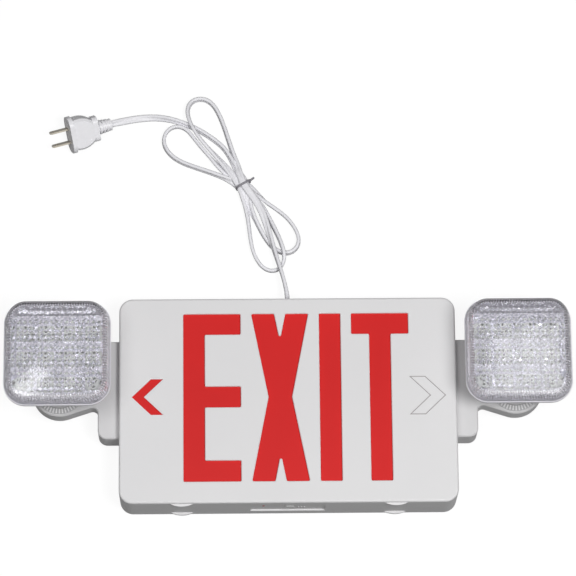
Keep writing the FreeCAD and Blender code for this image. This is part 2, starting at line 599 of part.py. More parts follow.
def make_test_panel():
    """The push-to-test switch and the charge lamp, on a small board behind the recess."""
    width = "recess_right - recess_left"
    switch_face = f"({TEST_BOARD} - switch_depth)"
    board = box("test_circuit", "recess_left", TEST_BOARD, "button_level - 6", width, "circuit_depth", "12")
    case = box("switch_case", "button_x - switch_size / 2", switch_face, "button_level - switch_size / 2",
               "switch_size", "switch_depth", "switch_size")
    well = rod("switch_well", "button_x", f"{switch_face} - 1", "button_level", "plunger_radius + fit / 2",
               "switch_depth", ALONG_Y)
    keep(fuse("test_board", board, cut("switch_body", case, well)), "test_board")
    flange_face = f"({RECESS_BACK} + fit)"
    flange_depth = "1"
    keep(fuse(
        "test_button",
        rod("button_cap", "button_x", f"{RECESS_FACE} - 1.7", "button_level", "button_radius",
            f"{flange_face} - {RECESS_FACE} + 1.7", ALONG_Y),
        rod("button_flange", "button_x", flange_face, "button_level", "button_radius + 1.2", flange_depth,
            ALONG_Y),
    ), "test_button")
    plunger_low = f"({flange_face} + {flange_depth})"
    keep(rod("switch_plunger", "button_x", plunger_low, "button_level", "plunger_radius",
             f"{switch_face} + switch_depth - 1 - button_travel - button_slack - {plunger_low}", ALONG_Y),
         "switch_plunger")
    lamp_tip = f"({RECESS_FACE} - 0.5)"
    dome = doc.addObject("Part::Cone", "lamp_dome")
    bind(dome, Radius1="lamp_radius / 2", Radius2="lamp_radius", Height="lamp_radius")
    place(dome, "lamp_x", lamp_tip, "button_level", ALONG_Y)
    stem = rod("lamp_stem", "lamp_x", f"{lamp_tip} + lamp_radius", "button_level", "lamp_radius", "4.5",
               ALONG_Y)
    collar = rod("lamp_collar", "lamp_x", f"{RECESS_BACK} + fit", "button_level", "lamp_radius + 0.5", "1",
                 ALONG_Y)
    legs = [box(f"lamp_leg_{i}", f"lamp_x + {offset} - 0.25", f"{RECESS_BACK} + fit", "button_level - 0.25",
                "0.5",
                f"{TEST_BOARD} - {RECESS_BACK} - fit", "0.5") for i, offset in enumerate((-1.1, 1.1))]
    keep(fuse("indicator_lamp", dome, stem, collar, *legs), "indicator_lamp")


def make_cord_grommet():
    """The bush that grips the cord in the frame's top wall."""
    outside = rod("grommet_outside", "exit_x", TOP, "exit_level", "grommet_flange", "grommet_lip", ALONG_Y)
    neck = rod("grommet_shank", "exit_x", f"{TOP} - {FRAME_WALL} - 1", "exit_level", "grommet_neck",
               f"{FRAME_WALL} + 1", ALONG_Y)
    inside = rod("grommet_inside", "exit_x", f"{TOP} - {FRAME_WALL} - 2.2", "exit_level",
                 "grommet_neck + 0.7",
                 "2.2", ALONG_Y)
    bore = rod("grommet_bore", "exit_x", f"{TOP} - 12", "exit_level", "cord_radius + fit / 4", "24", ALONG_Y)
    keep(cut("cord_grommet", fuse("grommet_blank", outside, neck, inside), bore), "cord_grommet")


# ---- the right arm, swivel and lamp head; the left ones mirror them ---------------------------------


def make_arm():
    arm = body("arm_casing")
    add(arm, "arm_box", "back_depth", "frame_depth",
        [(SIDE, "arm_low", "0"), (ARM_SIDE, "arm_low", "arm_corner"), (ARM_SIDE, "arm_high", "arm_corner"),
         (SIDE, "arm_high", "0")])
    slope = "web_slope * 1 deg"
    reach = f"({LOBE_X} - {ARM_SIDE})"
    spread = f"(lobe_radius / cos({slope}) - {reach} * tan({slope}))"
    touch_x, touch_y = f"{LOBE_X} - lobe_radius * sin({slope})", f"lobe_radius * cos({slope})"
    root, run = f"{ARM_SIDE} - arm_wall", "(2 * web_fillet)"
    web = [(root, f"lobe_y - {spread} - {run}", "0"), (ARM_SIDE, f"lobe_y - {spread} - {run}", "0"),
           (ARM_SIDE, f"lobe_y - {spread}", "web_fillet"), (touch_x, f"lobe_y - {touch_y}", "0"),
           (touch_x, f"lobe_y + {touch_y}", "0"), (ARM_SIDE, f"lobe_y + {spread}", "web_fillet"),
           (ARM_SIDE, f"lobe_y + {spread} + {run}", "0"), (root, f"lobe_y + {spread} + {run}", "0")]
    add(arm, "arm_web", LOBE_BACK, "lobe_depth", web)
    add(arm, "arm_lobe", LOBE_BACK, "lobe_depth", [(LOBE_X, "lobe_y", "lobe_radius")])
    side = value(SIDE)
    dress(arm, "arm_edge", "Chamfer", "arm_bevel",
          lambda edge: at_level(edge, value(SEAM)) and edge.BoundBox.XMax > side + 1)
    inner_side = f"{ARM_SIDE} - arm_wall"
    remove(arm, "arm_hollow", "back_depth", "frame_depth - arm_wall",
           [(SIDE, "arm_low + arm_wall", "0"), (inner_side, "arm_low + arm_wall", "arm_corner - arm_wall"),
            (inner_side, "arm_high - arm_wall", "arm_corner - arm_wall"), (SIDE, "arm_high - arm_wall", "0")])
    remove(arm, "lobe_hollow", LOBE_BACK, "lobe_depth - lobe_wall",
           [(LOBE_X, "lobe_y", "lobe_radius - arm_wall")])
    remove(arm, "wire_channel", f"{LOBE_BACK} + arm_wall", "lobe_depth - lobe_wall - arm_wall",
           [(f"{ARM_SIDE} - arm_wall - 1", "lobe_y - channel_half", "0"), (LOBE_X, "lobe_y - channel_half",
                                                                           "0"),
            (LOBE_X, "lobe_y + channel_half", "0"), (f"{ARM_SIDE} - arm_wall - 1", "lobe_y + channel_half",
                                                     "0")])
    remove(arm, "pivot_bore", LOBE_INNER, "lobe_wall", [(LOBE_X, "lobe_y", "pivot_radius")])
    parts, holes, screws = [arm], [], []
    level = f"{SEAM} - frame_depth / 2"
    for i, step in enumerate((-1, 1)):
        y = f"lobe_y + {step} * arm_screw_pitch / 2"
        parts.append(middle_box(f"arm_boss_{i}", f"{SIDE} + 4", y, "back_depth + arm_wall + fit", "8", "8",
                                "frame_depth - 2 * arm_wall - fit + 0.5"))
        holes.append(rod(f"arm_boss_hole_{i}", f"{SIDE} - 1", y, level, "arm_screw_radius", "8", ALONG_X))
        head_face = f"{SIDE} - {FRAME_WALL}"
        screws.append(fuse(
            f"arm_screw_{i}",
            rod(f"arm_screw_shank_{i}", head_face, y, level, "arm_screw_radius", f"{FRAME_WALL} + 7",
                ALONG_X),
            rod(f"arm_screw_head_{i}", f"{head_face} - 1.2", y, level, "2 * arm_screw_radius", "1.2",
                ALONG_X)))
    shell = keep(cut("right_arm_shell", fuse("arm_with_bosses", *parts), *holes), "right_arm_shell")
    mirrored("left_arm_shell", shell)
    mirrored("left_arm_screws", keep(group("right_arm_screws", *screws), "right_arm_screws"))

    cover = body("right_arm_cover")
    edge = "(arm_wall + fit)"
    far = f"{ARM_SIDE} - {edge}"
    add(cover, "arm_cover_plate", "back_depth", "arm_wall",
        [(f"{SIDE} + fit", f"arm_low + {edge}", "0"), (far, f"arm_low + {edge}", f"arm_corner - {edge}"),
         (far, f"arm_high - {edge}", f"arm_corner - {edge}"), (f"{SIDE} + fit", f"arm_high - {edge}", "0")])
    mirrored("left_arm_cover", keep(cover, "right_arm_cover"))

    cap = body("right_lobe_cap")
    add(cap, "lobe_cap_plate", LOBE_BACK, "arm_wall", [(LOBE_X, "lobe_y", "lobe_radius - arm_wall - fit")])
    mirrored("left_lobe_cap", keep(cap, "right_lobe_cap"))


def make_click_ring():
    """The ring of fine teeth round the swivel, which gives it its clicks."""
    ring = body("right_click_ring")
    add(ring, "click_ring_base", SEAM, "click_base", [(LOBE_X, "lobe_y", "click_radius")],
        [(LOBE_X, "lobe_y", "turret_radius + fit")])
    inner, outer = "turret_radius + 2 * fit", "click_radius - fit"
    tooth = add(ring, "click_tooth", f"{SEAM} + click_base", "click_rise",
                [(f"{LOBE_X} + {inner}", "lobe_y - click_rib / 2", "0"),
                 (f"{LOBE_X} + {outer}", "lobe_y - click_rib / 2", "0"),
                 (f"{LOBE_X} + {outer}", "lobe_y + click_rib / 2", "0"),
                 (f"{LOBE_X} + {inner}", "lobe_y + click_rib / 2", "0")])
    axis = ring.newObject("PartDesign::Line", "click_axis")
    axis.MapMode = "Deactivated"
    place(axis, LOBE_X, "lobe_y", "0")
    teeth = ring.newObject("PartDesign::PolarPattern", "click_teeth")
    teeth.Originals = [tooth]
    teeth.Axis = (axis, [""])
    teeth.Angle = 360
    bind(teeth, Occurrences="click_count")
    ring.Tip = teeth
    mirrored("left_click_ring", keep(ring, "right_click_ring"))


def make_turret():
    """The turning foot of a lamp head: a hollow pivot, a disc and two ears."""
    pivot_low = f"({LOBE_INNER} - pivot_nut_depth - 3 * fit)"
    disc = rod("turret_disc", LOBE_X, "lobe_y", TURRET_LOW, "turret_radius", "turret_depth")
    pivot = rod("turret_pivot", LOBE_X, "lobe_y", pivot_low, "pivot_radius - pivot_slack",
                f"{TURRET_LOW} - {pivot_low} + 1")
    parts, half = [disc, pivot], "(lug_half + ear_gap)"
    for name, start in (("near", f"{LOBE_X} - {half} - ear_wall"), ("far", f"{LOBE_X} + {half}")):
        parts.append(box(f"ear_{name}", start, "lobe_y - ear_radius", f"{TURRET_TOP} - 1", "ear_wall",
                         "2 * ear_radius", f"tilt_level - {TURRET_TOP} + 1"))
        parts.append(rod(f"ear_round_{name}", start, "lobe_y", "tilt_level", "ear_radius", "ear_wall",
                         ALONG_X))
    bore = rod("turret_bore", LOBE_X, "lobe_y", f"{pivot_low} - 1", "wire_bore",
               f"{TURRET_TOP} - {pivot_low} + 2")
    pin_hole = rod("ear_hole", f"{LOBE_X} - {half} - ear_wall - 1", "lobe_y", "tilt_level", "tilt_radius",
                   f"2 * ({half} + ear_wall + 1)", ALONG_X)
    turret = keep(cut("right_turret", fuse("turret_blank", *parts), bore, pin_hole), "right_turret")
    mirrored("left_turret", turret)

    ring = rod("pivot_nut_ring", LOBE_X, "lobe_y", f"{LOBE_INNER} - pivot_nut_depth - fit",
               "pivot_nut_radius",
               "pivot_nut_depth")
    eye = rod("pivot_nut_eye", LOBE_X, "lobe_y", f"{pivot_low} - 1", "pivot_radius - pivot_slack", "12")
    mirrored("left_pivot_nut", keep(cut("right_pivot_nut", ring, eye), "right_pivot_nut"))

    outer = f"({half} + ear_wall)"
    bolt = fuse(
        "right_tilt_bolt",
        rod("bolt_shank", f"{LOBE_X} - {outer}", "lobe_y", "tilt_level", "tilt_radius", f"2 * {outer}",
            ALONG_X),
        rod("bolt_head", f"{LOBE_X} + {outer}", "lobe_y", "tilt_level", "bolt_head_radius", "bolt_head_depth",
            ALONG_X),
        rod("bolt_nut", f"{LOBE_X} - {outer} - bolt_head_depth", "lobe_y", "tilt_level", "bolt_head_radius",
            "bolt_head_depth", ALONG_X))
    mirrored("left_tilt_bolt", keep(bolt, "right_tilt_bolt"))


def head_outline(width, corner):
    return rounded(width, width, corner, LOBE_X, HEAD_Y)


def make_head():
    shell = body("head_shell")
    deep = "(head_taper - head_wall)"
    corner = "(head_corner - 1)"
    outside = add(shell, "head_flare", HEAD_BACK, "head_taper",
                  head_outline("head_back", f"{corner} - {HEAD_GROWTH}"))
    flare(outside, HEAD_GROWTH, "head_taper")
    add(shell, "head_rim_band", RIM_LOW, "rim_depth", head_outline("head_rim", "head_corner"))
    hollow = remove(shell, "head_hollow", f"{HEAD_BACK} + head_wall", deep,
                    head_outline("head_back - 2 * head_wall", f"{corner} - {HEAD_GROWTH} - head_wall"))
    flare(hollow, HEAD_GROWTH, deep)
    remove(shell, "head_mouth", RIM_LOW, "rim_depth",
           head_outline("lens_base - 2 * head_wall", f"{corner} - head_wall"))
    parts = [
        shell,
        middle_box("lug_block", LOBE_X, "lobe_y", "tilt_level", "2 * lug_half", "2 * lug_half",
                   "head_back_gap + head_wall / 2"),
        rod("lug_round", f"{LOBE_X} - lug_half", "lobe_y", "tilt_level", "lug_half", "2 * lug_half", ALONG_X),
    ]
    for i, (x, y) in enumerate(((-1, -1), (1, -1), (1, 1), (-1, 1))):
        parts.append(rod(f"lamp_board_post_{i}", f"{LOBE_X} + {x} * ({LAMP_BOARD_WIDTH} / 2 - 8)",
                         f"{HEAD_Y} + {y} * ({LAMP_BOARD_WIDTH} / 2 - 8)", f"{HEAD_BACK} + head_wall / 2",
                         "2.5",
                         f"{LAMP_BOARD} - {HEAD_BACK} - head_wall / 2"))
    hole = rod("lug_hole", f"{LOBE_X} - lug_half - 1", "lobe_y", "tilt_level", "tilt_radius + tilt_slack",
               "2 * lug_half + 2", ALONG_X)
    wire_hole = rod("head_wire_hole", LOBE_X, "lobe_y + lug_half + 5", f"{HEAD_BACK} - 1", "2.5",
                    "head_wall + 2")
    case = keep(cut("right_head_case", fuse("head_solid", *parts), hole, wire_hole), "right_head_case")
    mirrored("left_head_case", case)

    lens = body("right_head_lens")
    shrink, inside = "((lens_face - lens_base) / 2)", "(lens_depth - lens_wall)"
    dome = add(lens, "lens_outside", LENS_LOW, "lens_depth", head_outline("lens_base", corner))
    flare(dome, shrink, "lens_depth")
    dress(lens, "lens_edge", "Chamfer", "lens_bevel", lambda edge: at_level(edge, value(LENS_TOP)))
    cavity = remove(lens, "lens_inside", LENS_LOW, inside,
                    head_outline("lens_base - 2 * lens_wall", f"{corner} - lens_wall"))
    flare(cavity, f"{shrink} * {inside} / lens_depth", inside)
    mirrored("left_head_lens", keep(lens, "right_head_lens"))


def make_reflector():
    """The plated tray of square funnels, one over each light chip, and the board behind it."""
    block = body("reflector_block")
    rear = f"({REFLECTOR_FRONT} - 2 * {REFLECTOR_GROWTH})"
    corner = "(head_corner - 1 - head_wall - reflector_gap)"
    depth = "(reflector_depth - reflector_rim)"
    tray = add(block, "reflector_flare", REFLECTOR_LOW, depth, head_outline(rear,
                                                                            f"{corner} - {REFLECTOR_GROWTH}"))
    flare(tray, REFLECTOR_GROWTH, depth)
    add(block, "reflector_flange", f"{LENS_LOW} - reflector_rim", "reflector_rim",
        head_outline("lens_base - 2 * head_wall - 2 * fit", "head_corner - 1 - head_wall - fit"))
    funnels = []
    for column in range(int(value("cell_columns"))):
        for row in range(int(value("cell_rows"))):
            funnel = doc.addObject("Part::Wedge", f"funnel_{column}_{row}")
            wedge_sizes(funnel, f"{CELL_PITCH_X} - cell_mouth", f"{CELL_PITCH_Y} - cell_mouth", "cell_throat",
                        "cell_throat", "reflector_depth")
            x, y = cell_place(column, row)
            place(funnel, x, y, LENS_LOW, Rotation(Vector(1, 0, 0), -90))
            funnels.append(funnel)
    reflector = cut("right_reflector", block, *funnels)
    mirrored("left_reflector", keep(reflector, "right_reflector"))

    board = body("lamp_board_sheet")
    add(board, "lamp_board_blank", LAMP_BOARD, "circuit_depth", head_outline(LAMP_BOARD_WIDTH, "8"))
    parts = [board]
    for column in range(int(value("cell_columns"))):
        for row in range(int(value("cell_rows"))):
            x, y = cell_place(column, row)
            parts.append(middle_box(f"light_chip_{column}_{row}", x, y, REFLECTOR_LOW, "chip_size",
                                    "chip_size",
                                    "chip_depth"))
    mirrored("left_lamp_board", keep(fuse("right_lamp_board", *parts), "right_lamp_board"))


def cell_place(column, row):
    return (f"{LOBE_X} + ({column} - (cell_columns - 1) / 2) * {CELL_PITCH_X}",
            f"{HEAD_Y} + ({row} - (cell_rows - 1) / 2) * {CELL_PITCH_Y}")


def wedge_sizes(wedge, width, height, narrow_width, narrow_height, depth):
    """A tapering block that is wide at its start and narrow at its end."""
    bind(wedge, Xmin=f"-({width}) / 2", Xmax=f"({width}) / 2", Zmin=f"-({height}) / 2",
         Zmax=f"({height}) / 2",
         Ymin="0", Ymax=depth, X2min=f"-({narrow_width}) / 2", X2max=f"({narrow_width}) / 2",
         Z2min=f"-({narrow_height}) / 2", Z2max=f"({narrow_height}) / 2")


# ---- the supply cord --------------------------------------------------------------------------------

# The cord's free ends: out of the grommet and down to the hank, and from the hank to the plug.
LEAD_POINTS = [(0.6, 82, 16.2), (0.6, 98.5, 16.2), (-0.4, 108, 13), (-2.2, 118.8, 8.2), (-4.3, 128.4, 5.1),
               (-6, 137, 4.9)]
TAIL_POINTS = [(-85.5, 268.8, 4.8), (-97, 273.4, 4.4), (-108.5, 276.2, 4), (-119.5, 277.1, 4),
               (-130.5, 276.2, 4.5), (-140.5, 274.6, 5.5), (-149.5, 272.6, 7.5), (-158.8, 269.4, 9.3)]
# Each loop of the hank: the middle of its rounded end, and that end's radius.
LOOPS = [(-74.2, 281.2, 16), (-96.5, 253.5, 16), (-15.7, 146.5, 16.6), (-2.5, 161, 15.7)]
TIE = Vector(-38.1, 211.7, 0)
TIE_TURN = 31.3
PLUG_FACE = Vector(-196.22, 256.53, 16.56)
PLUG_TURN, PLUG_LEAN, PLUG_ROLL = 199, 10.4, -37


def route(points):
    """Straight runs joined by the largest tangent arcs that the runs allow."""
    points = [Vector(*point) for point in points]
    edges, start, radii = [], points[0], []
    for before, corner, after in zip(points, points[1:], points[2:]):
        back, ahead = before - corner, after - corner
        half_turn = (math.pi - back.getAngle(ahead)) / 2
        trim = 0.45 * min(back.Length, ahead.Length)
        radius = trim / math.tan(half_turn)
        back.normalize()
        ahead.normalize()
        arrive, leave = corner + back * trim, corner + ahead * trim
        middle = corner + (back + ahead).normalize() * (radius / math.cos(half_turn) - radius)
        edges += [Part.LineSegment(start, arrive).toShape(), Part.Arc(arrive, middle, leave).toShape()]
        start = leave
        radii.append(round(radius, 1))
    edges.append(Part.LineSegment(start, points[-1]).toShape())
    return Part.Wire(edges), radii


def make_tube(label, points):
    path, radii = route(points)
    radius = value("cord_radius")
    start = path.Edges[0]
    ring = Part.Wire(Part.Circle(start.valueAt(start.FirstParameter), start.tangentAt(start.FirstParameter),
                                 radius).toShape())
    tube = doc.addObject("Part::Feature", label)
    tube.Shape = path.makePipeShell([ring], True, True)
    expected = math.pi * radius ** 2 * path.Length
    share = tube.Shape.Volume / expected
    print(f"{label}: radii {radii}, length {path.Length:.1f}, volume {share:.4f} of its sweep")
    return keep(tube, label)


def loop_outline(x, y, radius, narrow):
    """The outer shape of one loop: a round end drawn together towards the tie."""
    centre, height = Vector(x, y, 0), value("hank_height")
    along = TIE - centre
    tilt = math.acos((radius - narrow) / along.Length)
    heading = math.atan2(along.y, along.x)

    def rim(middle, size, angle):
        return middle + Vector(math.cos(heading + angle), math.sin(heading + angle), 0) * size

    a, b = rim(centre, radius, tilt), rim(centre, radius, -tilt)
    c, d = rim(TIE, narrow, -tilt), rim(TIE, narrow, tilt)
    wire = Part.Wire([Part.Arc(a, rim(centre, radius, math.pi), b).toShape(), Part.LineSegment(b,
                                                                                               c).toShape(),
                      Part.Arc(c, rim(TIE, narrow, 0), d).toShape(), Part.LineSegment(d, a).toShape()])
    return Part.Face(wire).extrude(Vector(0, 0, height))


def make_hank():
    """The tied cord as one solid of its outer shape, and the tie round its waist."""
    narrow = value("tie_across") / 2 - value("tie_wall")
    hank = loop_outline(*LOOPS[0], narrow).fuse([loop_outline(*loop, narrow) for loop in LOOPS[1:]])
    waist = Placement(TIE, Rotation(Vector(0, 0, 1), TIE_TURN))
    across, wall, width, height = (value(n) for n in ("tie_across", "tie_wall", "tie_width", "hank_height"))
    outer = Part.makeBox(across, width, height, Vector(-across / 2, -width / 2, 0))
    inner = Part.makeBox(across - 2 * wall, width, height - 2 * wall, Vector(wall - across / 2, -width / 2,
                                                                             wall))
    groove = Part.makeBox(6 * across, width, 3 * height, Vector(-3 * across, -width / 2, -height)).cut(inner)
    band = outer.cut(inner)
    band.Placement = groove.Placement = waist
    piece = doc.addObject("Part::Feature", "cord_hank")
    piece.Shape = hank.cut([groove, nodes["cord_lead"].Shape, nodes["cord_tail"].Shape]).removeSplitter()
    keep(piece, "cord_hank")
    tie = doc.addObject("Part::Feature", "cord_tie")
    tie.Shape = band
    keep(tie, "cord_tie")


def make_plug():
    """A two-blade plug: face flange, waisted grip, collar and ribbed strain relief."""
    turned = Rotation(Vector(0, 0, 1), PLUG_TURN) * Rotation(Vector(0, 1, 0), -PLUG_LEAN) * Rotation(
        Vector(1, 0, 0), PLUG_ROLL)
    where = Placement(PLUG_FACE, turned)

    def section(x, wide, thick, corner):
        """A rounded section of the plug, square to its axis."""
        y, z, r = wide / 2, thick / 2, corner
        side, bend = [], r * (1 - math.sqrt(0.5))
        for i, j in ((1, 1), (-1, 1), (-1, -1), (1, -1)):
            flat, upright = Vector(x, i * (y - r), j * z), Vector(x, i * y, j * (z - r))
            first, last = (upright, flat) if i == j else (flat, upright)
            side.append((first, Vector(x, i * (y - bend), j * (z - bend)), last))
        edges = []
        for k, (first, middle, last) in enumerate(side):
            edges.append(Part.Arc(first, middle, last).toShape())
            edges.append(Part.LineSegment(last, side[(k + 1) % 4][0]).toShape())
        return Part.Wire(edges)

    wide, thick = value("plug_width"), value("plug_thick")
    flange, grip, collar, relief = (value(n) for n in ("plug_flange", "plug_grip", "plug_collar",
                                                       "plug_relief"))
    body_shape = Part.Face(section(-flange, wide, thick, 8)).extrude(Vector(flange, 0, 0))
    near, far, deep = 0.41 * wide, 0.28 * wide, 0.84 * thick
    front, middle, rear = -flange, -flange - 0.45 * grip, -flange - grip
    corners = [Vector(front, side * near, -deep / 2) for side in (1, -1)]
    ends = [Vector(rear, side * far, -deep / 2) for side in (1, -1)]
    bulges = [Vector(middle, side * near * 1.04, -deep / 2) for side in (1, -1)]
    grip_outline = Part.Wire([
        Part.Arc(corners[0], bulges[0], ends[0]).toShape(), Part.LineSegment(ends[0], ends[1]).toShape(),
        Part.Arc(ends[1], bulges[1], corners[1]).toShape(), Part.LineSegment(corners[1],
                                                                             corners[0]).toShape()])
    grip_block = Part.Face(grip_outline).extrude(Vector(0, 0, deep))
    long_edges = [e for e in grip_block.Edges if e.BoundBox.ZLength < 1e-6 and e.BoundBox.XLength > grip / 2]
    body_shape = body_shape.fuse(grip_block.makeChamfer(0.13 * deep, long_edges))
    body_shape = body_shape.fuse(
        Part.Face(section(-flange - grip - collar, 0.68 * wide, 0.74 * thick, 5)).extrude(Vector(collar, 0,
                                                                                                 0)))
    start, rings = flange + grip + collar, int(value("relief_rings"))
    pitch = relief / rings
    for i in range(rings):
        size = 6.6 - 0.35 * i
        body_shape = body_shape.fuse(
            Part.makeCylinder(size, pitch * 0.62, Vector(-start - i * pitch - pitch * 0.38, 0, 0),
                              Vector(-1, 0, 0)))
    body_shape = body_shape.fuse(Part.makeCylinder(5, relief, Vector(-start, 0, 0), Vector(-1, 0, 0)))
    plug = doc.addObject("Part::Feature", "plug_body")
    plug.Shape = body_shape.removeSplitter()
    plug.Placement = where
    keep(plug, "plug_body")

    pitch, tall, thin, long = (value(n) for n in ("blade_pitch", "blade_width", "blade_thick",
                                                  "blade_length"))
    hole, edge = value("blade_hole"), value("blade_hole_inset")
    blades = []
    for side in (-1, 1):
        blade = Part.makeBox(long, thin, tall, Vector(0, side * pitch / 2 - thin / 2, -tall / 2))
        tip = [e for e in blade.Edges
               if abs(e.CenterOfMass.x - long) < 1e-6 and e.BoundBox.YLength > thin / 2]
        blade = blade.makeChamfer(1.6, tip)
        blades.append(blade.cut(Part.makeCylinder(hole, 4 * thin, Vector(long - edge,
                                                                         side * pitch / 2 - 2 * thin, 0),
                                                  Vector(0, 1, 0))))
    pins = doc.addObject("Part::Feature", "plug_blades")
    pins.Shape = Part.makeCompound(blades)
    pins.Placement = where
    keep(pins, "plug_blades")


# ---- build, check and write -------------------------------------------------------------------------


def main():
    make_face_plate()
    make_letter_panel()
    make_housing_frame()
    make_back_plate()
    make_reflector_tray()
    make_light_strip("top_light_strip", f"{TOP} - {TRAY_INSET} - tray_wall", -1)
    make_light_strip("bottom_light_strip", f"{TRAY_LOW} + tray_wall", 1)
    make_control_board()
    make_battery()
    make_transformer()
    make_test_panel()
    make_cord_grommet()
    make_arm()
    make_click_ring()
    make_turret()
    make_head()
    make_reflector()
    make_tube("cord_lead", LEAD_POINTS)
    make_tube("cord_tail", TAIL_POINTS)
    make_hank()
    make_plug()
    doc.recompute()
    for item in doc.Objects:
        if {"Invalid", "Error"} & set(item.State):
            raise ValueError(f"{item.Label} failed: {item.State}")
    os.makedirs("parts", exist_ok=True)
    for label, item in nodes.items():
        if item.Shape.isNull() or not item.Shape.isValid() or item.Shape.Volume <= 0:
            raise ValueError(f"{label} has no sound shape")
        item.Shape.exportStep(f"parts/{label}.step")
        print(f"{label}: {len(item.Shape.Solids)} solid(s), {item.Shape.Volume:.0f} mm3")


main()
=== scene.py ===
import math

import bmesh
import bpy
import numpy as np
from mathutils import Matrix, Vector


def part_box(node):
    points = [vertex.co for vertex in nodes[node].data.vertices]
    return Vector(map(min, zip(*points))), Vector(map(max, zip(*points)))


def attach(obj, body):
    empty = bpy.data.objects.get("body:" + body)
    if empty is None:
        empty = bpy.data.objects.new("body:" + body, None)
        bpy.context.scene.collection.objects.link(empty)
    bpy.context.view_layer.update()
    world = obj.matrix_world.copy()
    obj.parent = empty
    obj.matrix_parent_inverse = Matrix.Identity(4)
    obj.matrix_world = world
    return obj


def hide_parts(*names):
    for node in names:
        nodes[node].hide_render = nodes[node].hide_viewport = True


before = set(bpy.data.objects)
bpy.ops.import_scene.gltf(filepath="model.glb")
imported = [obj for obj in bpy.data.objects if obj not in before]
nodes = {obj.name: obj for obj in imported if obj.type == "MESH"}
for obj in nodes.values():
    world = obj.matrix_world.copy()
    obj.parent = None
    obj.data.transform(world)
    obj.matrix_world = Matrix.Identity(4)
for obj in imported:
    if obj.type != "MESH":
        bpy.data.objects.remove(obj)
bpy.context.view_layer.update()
scene = bpy.context.scene
sides = ("right", "left")
print("frame loaded:", len(nodes), "nodes")

cameraSettings = {
    "place": (-0.0450, -0.7430, 2.9547),
    "turn": (math.radians(-16.2), math.radians(0.87), math.radians(0.36)),  # tilt, swing and roll
    "lens": 212.8,
    "sensor": 36.0,
    "farthest": 20,
}


def addCamera(settings):
    data = bpy.data.cameras.new("camera")
    data.lens, data.sensor_width = settings["lens"], settings["sensor"]
    data.clip_end = settings["farthest"]
    camera = bpy.data.objects.new("camera", data)
    scene.collection.objects.link(camera)
    aboutX, aboutY, aboutZ = (Matrix.Rotation(a, 3, axis) for a, axis in zip(settings["turn"], "XYZ"))
    looking = (aboutZ @ aboutY @ aboutX).transposed()
    camera.matrix_world = Matrix.Translation(settings["place"]) @ looking.to_4x4()
    scene.camera = camera


addCamera(cameraSettings)
print("camera set")


# One grain for everything moulded, drawn or plated: slow clouding, fine grain and shallow sinks.
def addGrainGroup():
    group = bpy.data.node_groups.new("surface grain", "ShaderNodeTree")
    for label, start in (("Cloud Scale", 10), ("Grain Scale", 2000), ("Grain Depth", 0.00001),
                         ("Sink Scale", 30), ("Sink Depth", 0.0001)):
        group.interface.new_socket(label, in_out="INPUT", socket_type="NodeSocketFloat").default_value = start
    for label, kind in (("Cloud", "Float"), ("Gloss", "Float"), ("Normal", "Vector")):
        group.interface.new_socket(label, in_out="OUTPUT", socket_type=f"NodeSocket{kind}")
    made, link = group.nodes, group.links.new
    given, out = made.new("NodeGroupInput"), made.new("NodeGroupOutput")
    place = made.new("ShaderNodeTexCoord")
    textures = {}
    for label, detail in (("Cloud", 4), ("Grain", 3), ("Sink", 1)):
        texture = made.new("ShaderNodeTexNoise")
        texture.inputs["Detail"].default_value = detail
        link(place.outputs["Object"], texture.inputs["Vector"])
        link(given.outputs[f"{label} Scale"], texture.inputs["Scale"])
        textures[label] = texture.outputs["Fac"]
    under = None
    for label in ("Sink", "Grain"):  # the sinks first, the fine grain on top of them
        bump = made.new("ShaderNodeBump")
        bump.inputs["Strength"].default_value = 1
        link(given.outputs[f"{label} Depth"], bump.inputs["Distance"])
        link(textures[label], bump.inputs["Height"])
        if under:
            link(under, bump.inputs["Normal"])
        under = bump.outputs["Normal"]
    link(textures["Cloud"], out.inputs["Cloud"])
    link(textures["Grain"], out.inputs["Gloss"])
    link(under, out.inputs["Normal"])
    return group


# Cloud scale, grain scale, grain depth, sink scale, sink depth of each kind of surface.
grainSettings = {
    "moulded": (9.0, 2600.0, 0.000012, 24.0, 0.00012),
    "polished": (14.0, 900.0, 0.000002, 60.0, 0.00003),
    "vinyl": (40.0, 1500.0, 0.00001, 160.0, 0.00008),
    "hammered": (330.0, 1800.0, 0.000002, 300.0, 0.0004),
    "plated": (60.0, 1800.0, 0.000002, 300.0, 0.00001),
}
grainGroup = addGrainGroup()
grainSpread = {"colour": (0.3, 0.7), "gloss": (0.25, 0.75)}  # the noise values at which the ends are reached


